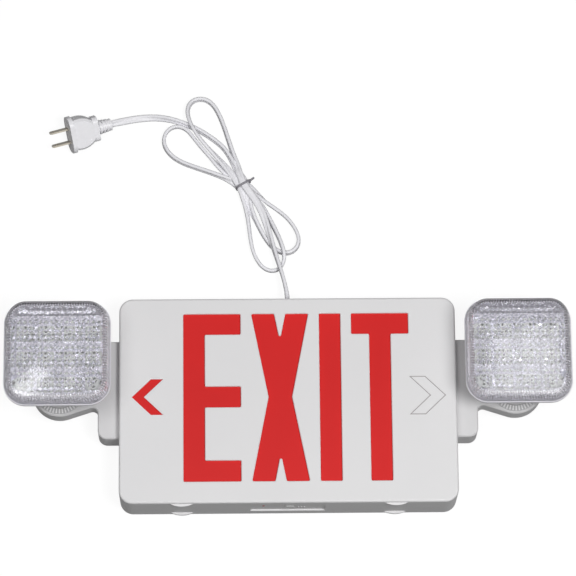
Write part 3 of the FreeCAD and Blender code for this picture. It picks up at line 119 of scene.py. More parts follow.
# The colour wanders between pale and deep, and the roughness between two values. Each blend changes the
# colour to another where all its spans hold: from and to, of the place or of the outward direction.
def addMaterial(name, grain, pale, deep, rough, smooth, blends=(), **sockets):
    material = bpy.data.materials.new(name)
    material.use_nodes = True
    made, link = material.node_tree.nodes, material.node_tree.links.new
    surface = made["Principled BSDF"]
    texture = made.new("ShaderNodeGroup")
    texture.node_tree = grainGroup
    for socket, value in zip(texture.inputs, grainSettings[grain]):
        socket.default_value = value
    colour = made.new("ShaderNodeValToRGB")
    for stop, place, tint in zip(colour.color_ramp.elements, grainSpread["colour"], (deep, pale)):
        stop.position, stop.color = place, (*tint, 1)
    spread = made.new("ShaderNodeMapRange")
    spread.inputs["From Min"].default_value, spread.inputs["From Max"].default_value = grainSpread["gloss"]
    spread.inputs["To Min"].default_value, spread.inputs["To Max"].default_value = smooth, rough
    link(texture.outputs["Cloud"], colour.inputs["Fac"])
    link(texture.outputs["Gloss"], spread.inputs["Value"])
    tone = colour.outputs["Color"]
    for *spans, other in blends:
        place, blend = made.new("ShaderNodeTexCoord"), made.new("ShaderNodeMix")
        blend.data_type = "RGBA"
        blend.inputs["B"].default_value = (*other, 1)
        mask = None
        for output, axis, start, end in spans:
            part, share = made.new("ShaderNodeSeparateXYZ"), made.new("ShaderNodeMapRange")
            share.inputs["From Min"].default_value, share.inputs["From Max"].default_value = start, end
            link(place.outputs[output], part.inputs["Vector"])
            link(part.outputs[axis], share.inputs["Value"])
            if mask:
                link(mask, share.inputs["To Max"])
            mask = share.outputs["Result"]
        link(mask, blend.inputs["Factor"])
        link(tone, blend.inputs["A"])
        tone = blend.outputs["Result"]
    link(tone, surface.inputs["Base Color"])
    link(spread.outputs["Result"], surface.inputs["Roughness"])
    link(texture.outputs["Normal"], surface.inputs["Normal"])
    for label, setting in sockets.items():
        surface.inputs[label.replace("_", " ")].default_value = setting
    return material


# Painted shade on the floor of the groove round the uncut chevron: right of this x, above this y, facing up,
# below the face.
chevronGrooveShade = (("Object", "X", 0.1000, 0.1005), ("Object", "Y", -0.0500, -0.0495),
                 ("Normal", "Z", 0.93, 0.97), ("Object", "Z", 0.0447, 0.0446))

# Grain, pale colour, deep colour, roughness from and to, and anything more.
finishes = {
    "housing": ("moulded", (0.74, 0.735, 0.74), (0.715, 0.71, 0.718), 0.50, 0.36, {}),
    # The face plate carries painted shade, dark grey, on the floor of its chevron groove.
    "face_plate": ("moulded", (0.74, 0.735, 0.74), (0.715, 0.71, 0.718), 0.50, 0.36,
                   {"blends": [(*chevronGrooveShade, (0.34, 0.32, 0.32))]}),
    "red_panel": ("moulded", (0.66, 0.012, 0.012), (0.60, 0.010, 0.010), 0.50, 0.40,
                  {"Specular_IOR_Level": 0.22}),
    "white_liner": ("moulded", (0.80, 0.80, 0.80), (0.76, 0.76, 0.76), 0.6, 0.5, {}),
    "circuit_board": ("polished", (0.62, 0.64, 0.60), (0.55, 0.57, 0.53), 0.42, 0.30, {}),
    "screw_steel": ("plated", (0.58, 0.58, 0.57), (0.48, 0.48, 0.48), 0.42, 0.26, {"Metallic": 1.0}),
    "battery_sleeve": ("polished", (0.02, 0.07, 0.28), (0.015, 0.05, 0.22), 0.34, 0.20, {}),
    "core_steel": ("plated", (0.07, 0.07, 0.08), (0.045, 0.045, 0.05), 0.55, 0.35, {"Metallic": 0.6}),
    "button": ("moulded", (0.70, 0.70, 0.70), (0.66, 0.66, 0.66), 0.42, 0.32, {}),
    "indicator": ("polished", (0.55, 0.03, 0.03), (0.40, 0.02, 0.02), 0.20, 0.08, {}),
    "cord_jacket": ("vinyl", (0.87, 0.865, 0.895), (0.82, 0.815, 0.85), 0.48, 0.34, {}),
    "tie_wire": ("vinyl", (0.30, 0.29, 0.31), (0.22, 0.21, 0.24), 0.50, 0.36, {}),
    "plug_moulding": ("vinyl", (0.88, 0.875, 0.90), (0.84, 0.835, 0.865), 0.42, 0.30, {}),
    "blade_nickel": ("plated", (0.50, 0.46, 0.39), (0.40, 0.37, 0.31), 0.36, 0.20, {"Metallic": 1.0}),
    "arm_plastic": ("moulded", (0.66, 0.655, 0.66), (0.63, 0.625, 0.635), 0.46, 0.34, {}),
    "head_plastic": ("polished", (0.68, 0.67, 0.71), (0.64, 0.63, 0.68), 0.36, 0.24, {}),
    "clear_lens": ("polished", (0.97, 0.965, 0.99), (0.93, 0.925, 0.96), 0.05, 0.02,
                   {"Transmission_Weight": 1.0, "IOR": 1.49}),
    "lens_wall": ("polished", (0.93, 0.92, 0.96), (0.88, 0.87, 0.92), 0.30, 0.16,
                  {"Transmission_Weight": 0.75, "IOR": 1.49}),
    # The flutes are a darker copy of the clear lens, and near the face they turn dark grey: both are painted
    # shade.
    "lens_ribs": ("polished", (0.80, 0.78, 0.85), (0.72, 0.70, 0.78), 0.10, 0.04,
                  {"Transmission_Weight": 0.85, "IOR": 1.49,
                   "blends": [(("Object", "Z", 0.0895, 0.0925), (0.36, 0.35, 0.40))]}),
    # The reflector's flange above this height is painted darker than the funnels: painted shade.
    "reflector_plate": ("hammered", (0.97, 0.97, 0.98), (0.62, 0.62, 0.65), 0.20, 0.08,
                        {"Metallic": 1.0, "blends": [(("Object", "Z", 0.0797, 0.0799), (0.42, 0.42, 0.44))]}),
    "lamp_board": ("polished", (0.62, 0.64, 0.60), (0.55, 0.57, 0.53), 0.42, 0.30,
                   {"blends": [(("Object", "Z", 0.0681, 0.0682), (0.03, 0.028, 0.022))]}),
    # The click ring is painted dark grey as shade between and below its teeth; only the tooth tops above this
    # height keep the pale plastic.
    "click_ring": ("moulded", (0.22, 0.22, 0.23), (0.18, 0.18, 0.19), 0.46, 0.34,
                   {"blends": [(("Object", "Z", 0.0360, 0.0367), (0.80, 0.795, 0.80))]}),
}
materials = {name: addMaterial(name, *spec[:5], **spec[5]) for name, spec in finishes.items()}
print("materials made:", len(materials))


def addPiece(name, mesh, smooth=True):
    mesh.polygons.foreach_set("use_smooth", [smooth] * len(mesh.polygons))
    piece = bpy.data.objects.new(name, mesh)
    scene.collection.objects.link(piece)
    return piece


# Keeps the edges sharp where the faces turn by more than this, with all faces outward.
def sharpen(piece, degrees):
    work = bmesh.new()
    work.from_mesh(piece.data)
    bmesh.ops.recalc_face_normals(work, faces=work.faces)
    for edge in work.edges:
        edge.smooth = len(edge.link_faces) == 2 and edge.calc_face_angle(0) < math.radians(degrees)
    work.to_mesh(piece.data)
    work.free()
    return piece


# A geometry tree with named inputs. put() adds a node and fills its sockets, in order or by name.
class ShapeTree:
    def __init__(self, name, **inputs):
        self.tree = bpy.data.node_groups.new(name, "GeometryNodeTree")
        addSocket = self.tree.interface.new_socket
        addSocket("Geometry", in_out="INPUT", socket_type="NodeSocketGeometry")
        for label, kind in inputs.items():
            addSocket(label.replace("_", " "), in_out="INPUT", socket_type=f"NodeSocket{kind}")
        addSocket("Geometry", in_out="OUTPUT", socket_type="NodeSocketGeometry")
        self.given = self.tree.nodes.new("NodeGroupInput").outputs

    def fill(self, socket, value):
        if isinstance(value, bpy.types.NodeSocket):
            self.tree.links.new(value, socket)
        else:
            socket.default_value = value

    def put(self, kind, *values, settings=(), **named):
        node = self.tree.nodes.new(kind)
        for label, value in dict(settings).items():
            setattr(node, label, value)
        for socket, value in zip(node.inputs, values):
            self.fill(socket, value)
        for label, value in named.items():
            self.fill(node.inputs[label.replace("_", " ")], value)
        return node.outputs[0]

    def maths(self, operation, *values):
        return self.put("ShaderNodeMath", *values, settings={"operation": operation})

    def join(self, *parts):
        node = self.tree.nodes.new("GeometryNodeJoinGeometry")
        for part in parts:
            self.tree.links.new(part, node.inputs[0])
        return node.outputs[0]

    def read(self, label, kind="FLOAT"):
        return self.put("GeometryNodeInputNamedAttribute", label, settings={"data_type": kind})

    def end(self, geometry):
        whole = self.put("GeometryNodeRealizeInstances", geometry)
        done = self.put("GeometryNodeSetMaterial", whole, Material=self.given["Material"])
        self.tree.links.new(done, self.tree.nodes.new("NodeGroupOutput").inputs["Geometry"])
        return self.tree


# Runs the tree on this mesh with these inputs, and keeps the result as a plain mesh at the origin.
def grow(name, mesh, tree, **inputs):
    piece = bpy.data.objects.new(name, mesh)
    scene.collection.objects.link(piece)
    modifier = piece.modifiers.new("shape", "NODES")
    modifier.node_group = tree
    for item in tree.interface.items_tree:
        label = item.name.replace(" ", "_")
        if item.in_out == "INPUT" and label in inputs:
            modifier[item.identifier] = inputs[label]
    seen = piece.evaluated_get(bpy.context.evaluated_depsgraph_get())
    done = bpy.data.meshes.new_from_object(seen)
    done.name = name
    piece.modifiers.remove(modifier)
    piece.data = done
    done.polygons.foreach_set("use_smooth", [True] * len(done.polygons))
    return piece


# Evenly spaced points round a rounded oblong: place, outward direction, share of the way round. Each side
# keeps a hair of flat.
def roundedOutline(width, depth, corner, count, hair=1e-6):
    corner = min(corner, width / 2 - hair, depth / 2 - hair)
    flatX, flatY, bend = width - 2 * corner, depth - 2 * corner, corner * math.pi / 2
    total = 2 * (flatX + flatY) + 4 * bend
    found = []
    for i in range(count):
        s = total * i / count
        for side, (flat, turn) in enumerate(((flatX, 0), (flatY, 90), (flatX, 180), (flatY, 270))):
            heading = math.radians(turn)
            along = Vector((math.cos(heading), math.sin(heading)))
            out = Vector((math.sin(heading), -math.cos(heading)))
            middle = Vector((0, 0)) + out * ((depth if side % 2 == 0 else width) / 2)
            if s <= flat:
                found.append((middle + along * (s - flat / 2), out, i / count))
                break
            s -= flat
            if s <= bend:
                angle = s / corner
                pivot = middle + along * (flat / 2) - out * corner
                spoke = out * math.cos(angle) + along * math.sin(angle)
                found.append((pivot + spoke * corner, spoke, i / count))
                break
            s -= bend
    return found


# The cord: one flat twin lead, from the housing through the tied hank to the plug.
# Each control point: x, y, z, and how far the flat cord is rolled from lying flat, in degrees.
cordRoute = [
    (0.0006, 0.0820, 0.0162, 90), (0.0006, 0.0985, 0.0162, 90), (0.0007, 0.1022, 0.0159, 90),
    (-0.0002, 0.1097, 0.0151, 90), (-0.0023, 0.1197, 0.0138, 88), (-0.0050, 0.1296, 0.0125, 85),
    (-0.0078, 0.1388, 0.0114, 80), (-0.0104, 0.1479, 0.0102, 75), (-0.0129, 0.1571, 0.0092, 62),
    (-0.0157, 0.1671, 0.0086, 45), (-0.0188, 0.1778, 0.0085, 22), (-0.0224, 0.1880, 0.0084, 8),
    (-0.0291, 0.1994, 0.0085, 3), (-0.0381, 0.2119, 0.0085, 0), (-0.0417, 0.2228, 0.0070, 20),
    (-0.0441, 0.2327, 0.0046, 55), (-0.0475, 0.2430, 0.0033, 72), (-0.0513, 0.2552, 0.0036, 78),
    (-0.0554, 0.2686, 0.0035, 80), (-0.0601, 0.2810, 0.0035, 82), (-0.0654, 0.2901, 0.0035, 84),
    (-0.0722, 0.2949, 0.0036, 84), (-0.0804, 0.2953, 0.0033, 84), (-0.0869, 0.2906, 0.0041, 82),
    (-0.0890, 0.2825, 0.0058, 80), (-0.0870, 0.2729, 0.0080, 78), (-0.0828, 0.2638, 0.0095, 76),
    (-0.0771, 0.2551, 0.0087, 76), (-0.0691, 0.2461, 0.0062, 70), (-0.0596, 0.2362, 0.0045, 50),
    (-0.0501, 0.2248, 0.0047, 20), (-0.0408, 0.2100, 0.0052, 0), (-0.0378, 0.2004, 0.0050, 20),
    (-0.0357, 0.1908, 0.0039, 62), (-0.0337, 0.1776, 0.0034, 80), (-0.0323, 0.1639, 0.0036, 82),
    (-0.0306, 0.1525, 0.0036, 84), (-0.0272, 0.1425, 0.0036, 84), (-0.0218, 0.1343, 0.0036, 84),
    (-0.0142, 0.1301, 0.0033, 84), (-0.0065, 0.1314, 0.0044, 84), (-0.0019, 0.1374, 0.0074, 84),
    (-0.0014, 0.1452, 0.0102, 84), (-0.0041, 0.1550, 0.0093, 82), (-0.0087, 0.1670, 0.0061, 80),
    (-0.0142, 0.1788, 0.0039, 72), (-0.0201, 0.1895, 0.0030, 45), (-0.0290, 0.2004, 0.0022, 10),
    (-0.0410, 0.2103, 0.0019, 0), (-0.0489, 0.2165, 0.0030, 40), (-0.0574, 0.2203, 0.0035, 76),
    (-0.0691, 0.2249, 0.0034, 82), (-0.0819, 0.2294, 0.0034, 84), (-0.0935, 0.2338, 0.0036, 84),
    (-0.1026, 0.2396, 0.0036, 84), (-0.1088, 0.2473, 0.0036, 84), (-0.1108, 0.2553, 0.0036, 84),
    (-0.1088, 0.2627, 0.0036, 84), (-0.1035, 0.2678, 0.0036, 84), (-0.0962, 0.2690, 0.0036, 84),
    (-0.0894, 0.2659, 0.0035, 84), (-0.0839, 0.2589, 0.0035, 82), (-0.0772, 0.2498, 0.0034, 82),
    (-0.0688, 0.2397, 0.0034, 80), (-0.0602, 0.2295, 0.0033, 55), (-0.0495, 0.2205, 0.0022, 12),
    (-0.0352, 0.2134, 0.0019, 0), (-0.0269, 0.2050, 0.0028, 35), (-0.0185, 0.1964, 0.0035, 78),
    (-0.0082, 0.1890, 0.0034, 82), (0.0008, 0.1817, 0.0034, 84), (0.0077, 0.1727, 0.0036, 84),
    (0.0119, 0.1633, 0.0036, 84), (0.0117, 0.1550, 0.0036, 84), (0.0072, 0.1491, 0.0036, 84),
    (0.0008, 0.1469, 0.0036, 84), (-0.0058, 0.1484, 0.0036, 84), (-0.0126, 0.1532, 0.0036, 84),
    (-0.0183, 0.1609, 0.0036, 84), (-0.0234, 0.1707, 0.0035, 82), (-0.0284, 0.1815, 0.0035, 76),
    (-0.0324, 0.1918, 0.0046, 45), (-0.0342, 0.2023, 0.0051, 10), (-0.0355, 0.2132, 0.0051, 0),
    (-0.0414, 0.2224, 0.0049, 22), (-0.0468, 0.2320, 0.0039, 58), (-0.0509, 0.2409, 0.0033, 74),
    (-0.0562, 0.2484, 0.0036, 76), (-0.0634, 0.2549, 0.0036, 76), (-0.0716, 0.2609, 0.0036, 74),
    (-0.0804, 0.2663, 0.0035, 70), (-0.0908, 0.2713, 0.0032, 66), (-0.1023, 0.2752, 0.0033, 60),
    (-0.1138, 0.2774, 0.0029, 48), (-0.1254, 0.2776, 0.0028, 30), (-0.1370, 0.2759, 0.0039, 16),
    (-0.1479, 0.2729, 0.0066, 24), (-0.1562, 0.2704, 0.0088, 37), (-0.1604, 0.2689, 0.0096, 37),
]
cordSettings = {
    "width": 0.0066, "thick": 0.0033, "web": 0.0023, "steps": 10, "sharp": 70,
    "exit": (0.0006, 0.0985, 0.0162),
}


# Points along the smooth line that the route controls, with the cord's roll at each.
def splinePath(route, steps):
    data = bpy.data.curves.new("cord line", "CURVE")
    data.dimensions, data.resolution_u = "3D", steps
    spline = data.splines.new("NURBS")
    spline.points.add(len(route) - 1)
    for point, (x, y, z, _) in zip(spline.points, route):
        point.co = (x, y, z, 1)
    spline.order_u = 3
    spline.use_endpoint_u = True
    holder = bpy.data.objects.new("cord line", data)
    line = bpy.data.meshes.new_from_object(holder)
    path = np.array([v.co for v in line.vertices], float)
    bpy.data.objects.remove(holder)
    last = len(route) - 2
    stations = np.concatenate([[0], np.arange(0.5, last), [last]])  # where each control point acts
    rolls = np.interp(np.linspace(0, last, len(path)), stations, [r[3] for r in route])
    return path, np.radians(rolls)


# Two round cores with a groove between them, swept along a line of points that carry a roll, and ribbed
# where Ribs is above 0, with this share of each rib's length standing proud. With the web as thick as the
# cores the section is a plain flat oval.
def leadTree(coreSteps=9, ribShare=0.49):
    t = ShapeTree("twin lead", Width="Float", Thickness="Float", Web="Float", Start_Size="Float",
                  End_Size="Float", Ribs="Float", Rib_Groove="Float", Material="Material")
    given = t.given
    core = t.maths("DIVIDE", given["Thickness"], 2.0)
    reach = t.maths("SUBTRACT", t.maths("DIVIDE", given["Width"], 2.0), core)
    neck = t.maths("ARCSINE", t.maths("DIVIDE", given["Web"], given["Thickness"]))
    half = t.maths("SUBTRACT", math.pi, neck)
    index = t.put("GeometryNodeInputIndex")
    second = t.maths("FLOOR", t.maths("DIVIDE", index, float(coreSteps)))
    side = t.maths("SUBTRACT", 1.0, t.maths("MULTIPLY", second, 2.0))
    step = t.maths("DIVIDE", t.maths("MODULO", index, float(coreSteps)), coreSteps - 1.0)
    angle = t.maths("MULTIPLY", half, t.maths("SUBTRACT", t.maths("MULTIPLY", step, 2.0), 1.0))
    across = t.maths("MULTIPLY", side, t.maths("MULTIPLY_ADD", core, t.maths("COSINE", angle), reach))
    tall = t.maths("MULTIPLY", side, t.maths("MULTIPLY", core, t.maths("SINE", angle)))
    circle = t.put("GeometryNodeCurvePrimitiveCircle", 2 * coreSteps)
    section = t.put("GeometryNodeSetPosition", circle,
                    Position=t.put("ShaderNodeCombineXYZ", across, tall, 0.0))
    line = t.put("GeometryNodeMeshToCurve", given["Geometry"])
    upright = t.put("GeometryNodeSetCurveNormal", line, settings={"mode": "Z_UP"})
    rolled = t.put("GeometryNodeSetCurveTilt", upright, Tilt=t.maths("MULTIPLY", t.read("roll"), -1.0))
    way = t.put("GeometryNodeSplineParameter")
    growth = t.maths("SUBTRACT", given["End Size"], given["Start Size"])
    taper = t.maths("MULTIPLY_ADD", way, growth, given["Start Size"])
    groove = t.maths("GREATER_THAN", t.maths("FRACT", t.maths("MULTIPLY", way, given["Ribs"])), ribShare)
    ridge = t.maths("SUBTRACT", 1.0, t.maths("MULTIPLY", groove, given["Rib Groove"]))
    size = t.maths("MAXIMUM", t.maths("MULTIPLY", taper, ridge), given["End Size"])
    return t.end(t.put("GeometryNodeCurveToMesh", rolled, section, Scale=size, Fill_Caps=True))


def growLead(name, path, rolls, **inputs):
    line = bpy.data.meshes.new(name)
    line.from_pydata([tuple(p) for p in path], [(i, i + 1) for i in range(len(path) - 1)], [])
    line.attributes.new("roll", "FLOAT", "POINT").data.foreach_set("value", list(rolls))
    return grow(name, line, lead, Width=cordSettings["width"], Thickness=cordSettings["thick"],
                Material=materials["cord_jacket"], **inputs)


lead = leadTree()
cordPath, cordRolls = splinePath(cordRoute, cordSettings["steps"])
cordWay = np.concatenate([[0], np.cumsum(np.linalg.norm(np.diff(cordPath, axis=0), axis=1))])
cord = growLead("cord", cordPath, cordRolls, Web=cordSettings["web"], Start_Size=1.0, End_Size=1.0, Ribs=0.0,
                Rib_Groove=0.0)
sharpen(cord, cordSettings["sharp"])
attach(cord, "housing")
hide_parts("cord_lead", "cord_hank", "cord_tail")
print("cord:", round(float(cordWay[-1]), 4), "m,", len(cord.data.polygons), "faces")

# The strain relief that tapers onto the cord behind its grommet.
reliefSettings = {
    "start": (0.0006, 0.0942, 0.0162), "length": 0.021, "startSize": 1.42, "endSize": 1.05,
    "ribs": 6, "ribSteps": 4, "groove": 0.07, "sharp": 40,
}


def addRelief(settings):
    first = int(np.argmin(np.linalg.norm(cordPath - np.array(settings["start"]), axis=1)))
    stations = np.linspace(cordWay[first], cordWay[first] + settings["length"],
                           settings["ribSteps"] * settings["ribs"] + 1)
    path = np.stack([np.interp(stations, cordWay, cordPath[:, k]) for k in range(3)], axis=1)
    relief = growLead("cord_relief", path, np.interp(stations, cordWay, cordRolls), Web=cordSettings["thick"],
                      Start_Size=settings["startSize"], End_Size=settings["endSize"],
                      Ribs=float(settings["ribs"]), Rib_Groove=settings["groove"])
    sharpen(relief, settings["sharp"])
    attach(relief, "housing")
    return relief


cordRelief = addRelief(reliefSettings)

# The wire tie round the hank's waist: two rings drawn close round the five strands, and their twisted ends.
tieSettings = {
    "middle": (-0.0381, 0.2117), "lift": 0.0001, "turn": 31.3, "across": 0.0146, "tall": 0.0106,
    "corner": 0.0034, "wire": 0.00055, "sharp": 60,
    "twists": 3.5, "tail": 0.0049, "tailInset": -0.0004, "tailFoot": 0.0012, "tailRise": 21.4,
}


def tieTree(wireSides=10, cornerSteps=8, twistSteps=12, closeness=0.95):
    t = ShapeTree("wire tie", Across="Float", Tall="Float", Corner="Float", Wire="Float", Twists="Float",
                  Tail="Float", Tail_Inset="Float", Tail_Foot="Float", Tail_Turn="Vector", Place="Vector",
                  Turn="Vector", Material="Material")
    given = t.given
    apart = t.maths("MULTIPLY", given["Wire"], closeness)
    section = t.put("GeometryNodeCurvePrimitiveCircle", wireSides, Radius=given["Wire"])
    inside = t.maths("SUBTRACT", given["Tall"], t.maths("MULTIPLY", given["Wire"], 2.0))
    square = t.put("GeometryNodeCurvePrimitiveQuadrilateral", given["Across"], inside)
    ring = t.put("GeometryNodeFilletCurve", square, settings={"mode": "POLY"}, Count=cornerSteps,
                 Radius=given["Corner"], Limit_Radius=True)
    standing = t.put("GeometryNodeTransform", t.put("GeometryNodeCurveToMesh", ring, section),
                     Rotation=(math.pi / 2, 0, 0))
    start = t.put("ShaderNodeCombineXYZ", 0.0, t.maths("MULTIPLY", apart, -1.0), 0.0)
    gap = t.put("ShaderNodeCombineXYZ", 0.0, t.maths("MULTIPLY", apart, 2.0), 0.0)
    lanes = t.put("GeometryNodeMeshLine", 2, Start_Location=start, Offset=gap)
    rings = t.put("GeometryNodeInstanceOnPoints", lanes, Instance=standing)
    helix = t.put("GeometryNodeCurveSpiral", twistSteps, given["Twists"], apart, apart, given["Tail"])
    strand = t.put("GeometryNodeCurveToMesh", helix, section, Fill_Caps=True)
    other = t.put("GeometryNodeTransform", strand, Rotation=(0, 0, math.pi))
    edge = t.maths("MULTIPLY_ADD", given["Across"], 0.5, given["Tail Inset"])
    foot = t.put("ShaderNodeCombineXYZ", edge, 0.0, given["Tail Foot"])
    tail = t.put("GeometryNodeTransform", t.join(strand, other), Translation=foot,
                 Rotation=given["Tail Turn"])
    return t.end(t.put("GeometryNodeTransform", t.join(rings, tail), Translation=given["Place"],
                       Rotation=given["Turn"]))


def addTie(settings):
    tie = grow("hank_tie", bpy.data.meshes.new("hank_tie"), tieTree(), Across=settings["across"],
               Tall=settings["tall"], Corner=settings["corner"], Wire=settings["wire"],
               Twists=settings["twists"], Tail=settings["tail"], Tail_Inset=settings["tailInset"],
               Tail_Foot=settings["tailFoot"], Tail_Turn=(0, math.radians(90 - settings["tailRise"]), 0),
               Place=(*settings["middle"], settings["tall"] / 2 + settings["lift"]),
               Turn=(0, 0, math.radians(settings["turn"])), Material=materials["tie_wire"])
    sharpen(tie, settings["sharp"])
    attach(tie, "housing")
    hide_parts("cord_tie")
    return tie


hankTie = addTie(tieSettings)
print("relief and tie made")

# The lamp heads' prismatic covers: smooth outside, fluted walls inside, rows of pillows under the face.
lensSettings = {
    "faceWidth": 0.087, "baseCorner": 0.019, "wall": 0.0016, "round": 0.0018, "roundSteps": 6,
    "ribs": 134, "ribSteps": 8, "ribStart": 0.0012, "ribFull": 0.0022, "ribDepth": 0.0005, "ribCrown": 0.0026,
    "ribTaper": 0.0045, "pillowPitch": 0.0046, "pillows": 17, "pillowSteps": 5, "bulge": 0.0009,
    "land": 0.0001, "merge": 0.000002, "sharp": 34,
}


# Presses flutes into a smooth wall whose points know their way round it and their outward direction.
def fluteTree():
    t = ShapeTree("fluted wall", Ribs="Float", Rib_Depth="Float", Crown_Depth="Float", Material="Material")
    given = t.given
    turn = t.maths("MULTIPLY", t.maths("MULTIPLY", t.read("way"), given["Ribs"]), math.pi)
    wave = t.maths("ABSOLUTE", t.maths("SINE", turn))
    deep = t.maths("MULTIPLY_ADD", t.read("crown"), given["Crown Depth"],
                 t.maths("MULTIPLY", t.read("rib"), given["Rib Depth"]))
    push = t.put("ShaderNodeVectorMath", t.read("outward", "FLOAT_VECTOR"), settings={"operation": "SCALE"},
                 Scale=t.maths("MULTIPLY", t.maths("MULTIPLY", deep, wave), -1.0))
    return t.end(t.put("GeometryNodeSetPosition", given["Geometry"], Offset=push))


# One bulged pillow, set out in rows and columns, left out where a corner would cut it.
def pillowTree(merge=0.00002):
    t = ShapeTree("pillow rows", Pitch="Float", Rows="Int", Steps="Int", Bulge="Float", Room="Float",
                  Corner="Float", Place="Vector", Material="Material")
    given = t.given
    points = t.maths("ADD", given["Steps"], 1.0)
    patch = t.put("GeometryNodeMeshGrid", given["Pitch"], given["Pitch"], points, points)
    spot = t.tree.nodes.new("ShaderNodeSeparateXYZ")
    t.tree.links.new(t.put("GeometryNodeInputPosition"), spot.inputs[0])
    places = [spot.outputs[axis] for axis in ("X", "Y")]
    shares = [t.maths("DIVIDE", t.maths("MULTIPLY", place, 2.0), given["Pitch"]) for place in places]
    domes = [t.maths("MAXIMUM", t.maths("SUBTRACT", 1.0, t.maths("MULTIPLY", s, s)), 0.0) for s in shares]
    drop = t.maths("MULTIPLY", given["Bulge"], t.maths("MULTIPLY", *domes))
    down = t.put("ShaderNodeCombineXYZ", 0.0, 0.0, t.maths("MULTIPLY", drop, -1.0))
    pillow = t.put("GeometryNodeSetPosition", patch, Offset=down)
    span = t.maths("MULTIPLY", given["Pitch"], t.maths("SUBTRACT", given["Rows"], 1.0))
    centres = t.put("GeometryNodeMeshGrid", span, span, given["Rows"], given["Rows"])
    half = t.maths("MULTIPLY", given["Room"], 0.5)
    straight = t.maths("SUBTRACT", half, given["Corner"])
    edges = [t.maths("MULTIPLY_ADD", given["Pitch"], 0.5, t.maths("ABSOLUTE", place)) for place in places]
    over = [t.maths("MAXIMUM", t.maths("SUBTRACT", edge, straight), 0.0) for edge in edges]
    reach = t.maths("SQRT", t.maths("ADD", *(t.maths("MULTIPLY", past, past) for past in over)))
    kept = t.maths("LESS_THAN", reach, given["Corner"])
    for edge in edges:
        kept = t.maths("MULTIPLY", kept, t.maths("LESS_THAN", edge, half))
    rows = t.put("GeometryNodeInstanceOnPoints", centres, Selection=kept, Instance=pillow)
    joined = t.put("GeometryNodeMergeByDistance", t.put("GeometryNodeRealizeInstances", rows), Distance=merge)
    return t.end(t.put("GeometryNodeTransform", joined, Translation=given["Place"]))


flutes, pillowRows = fluteTree(), pillowTree()


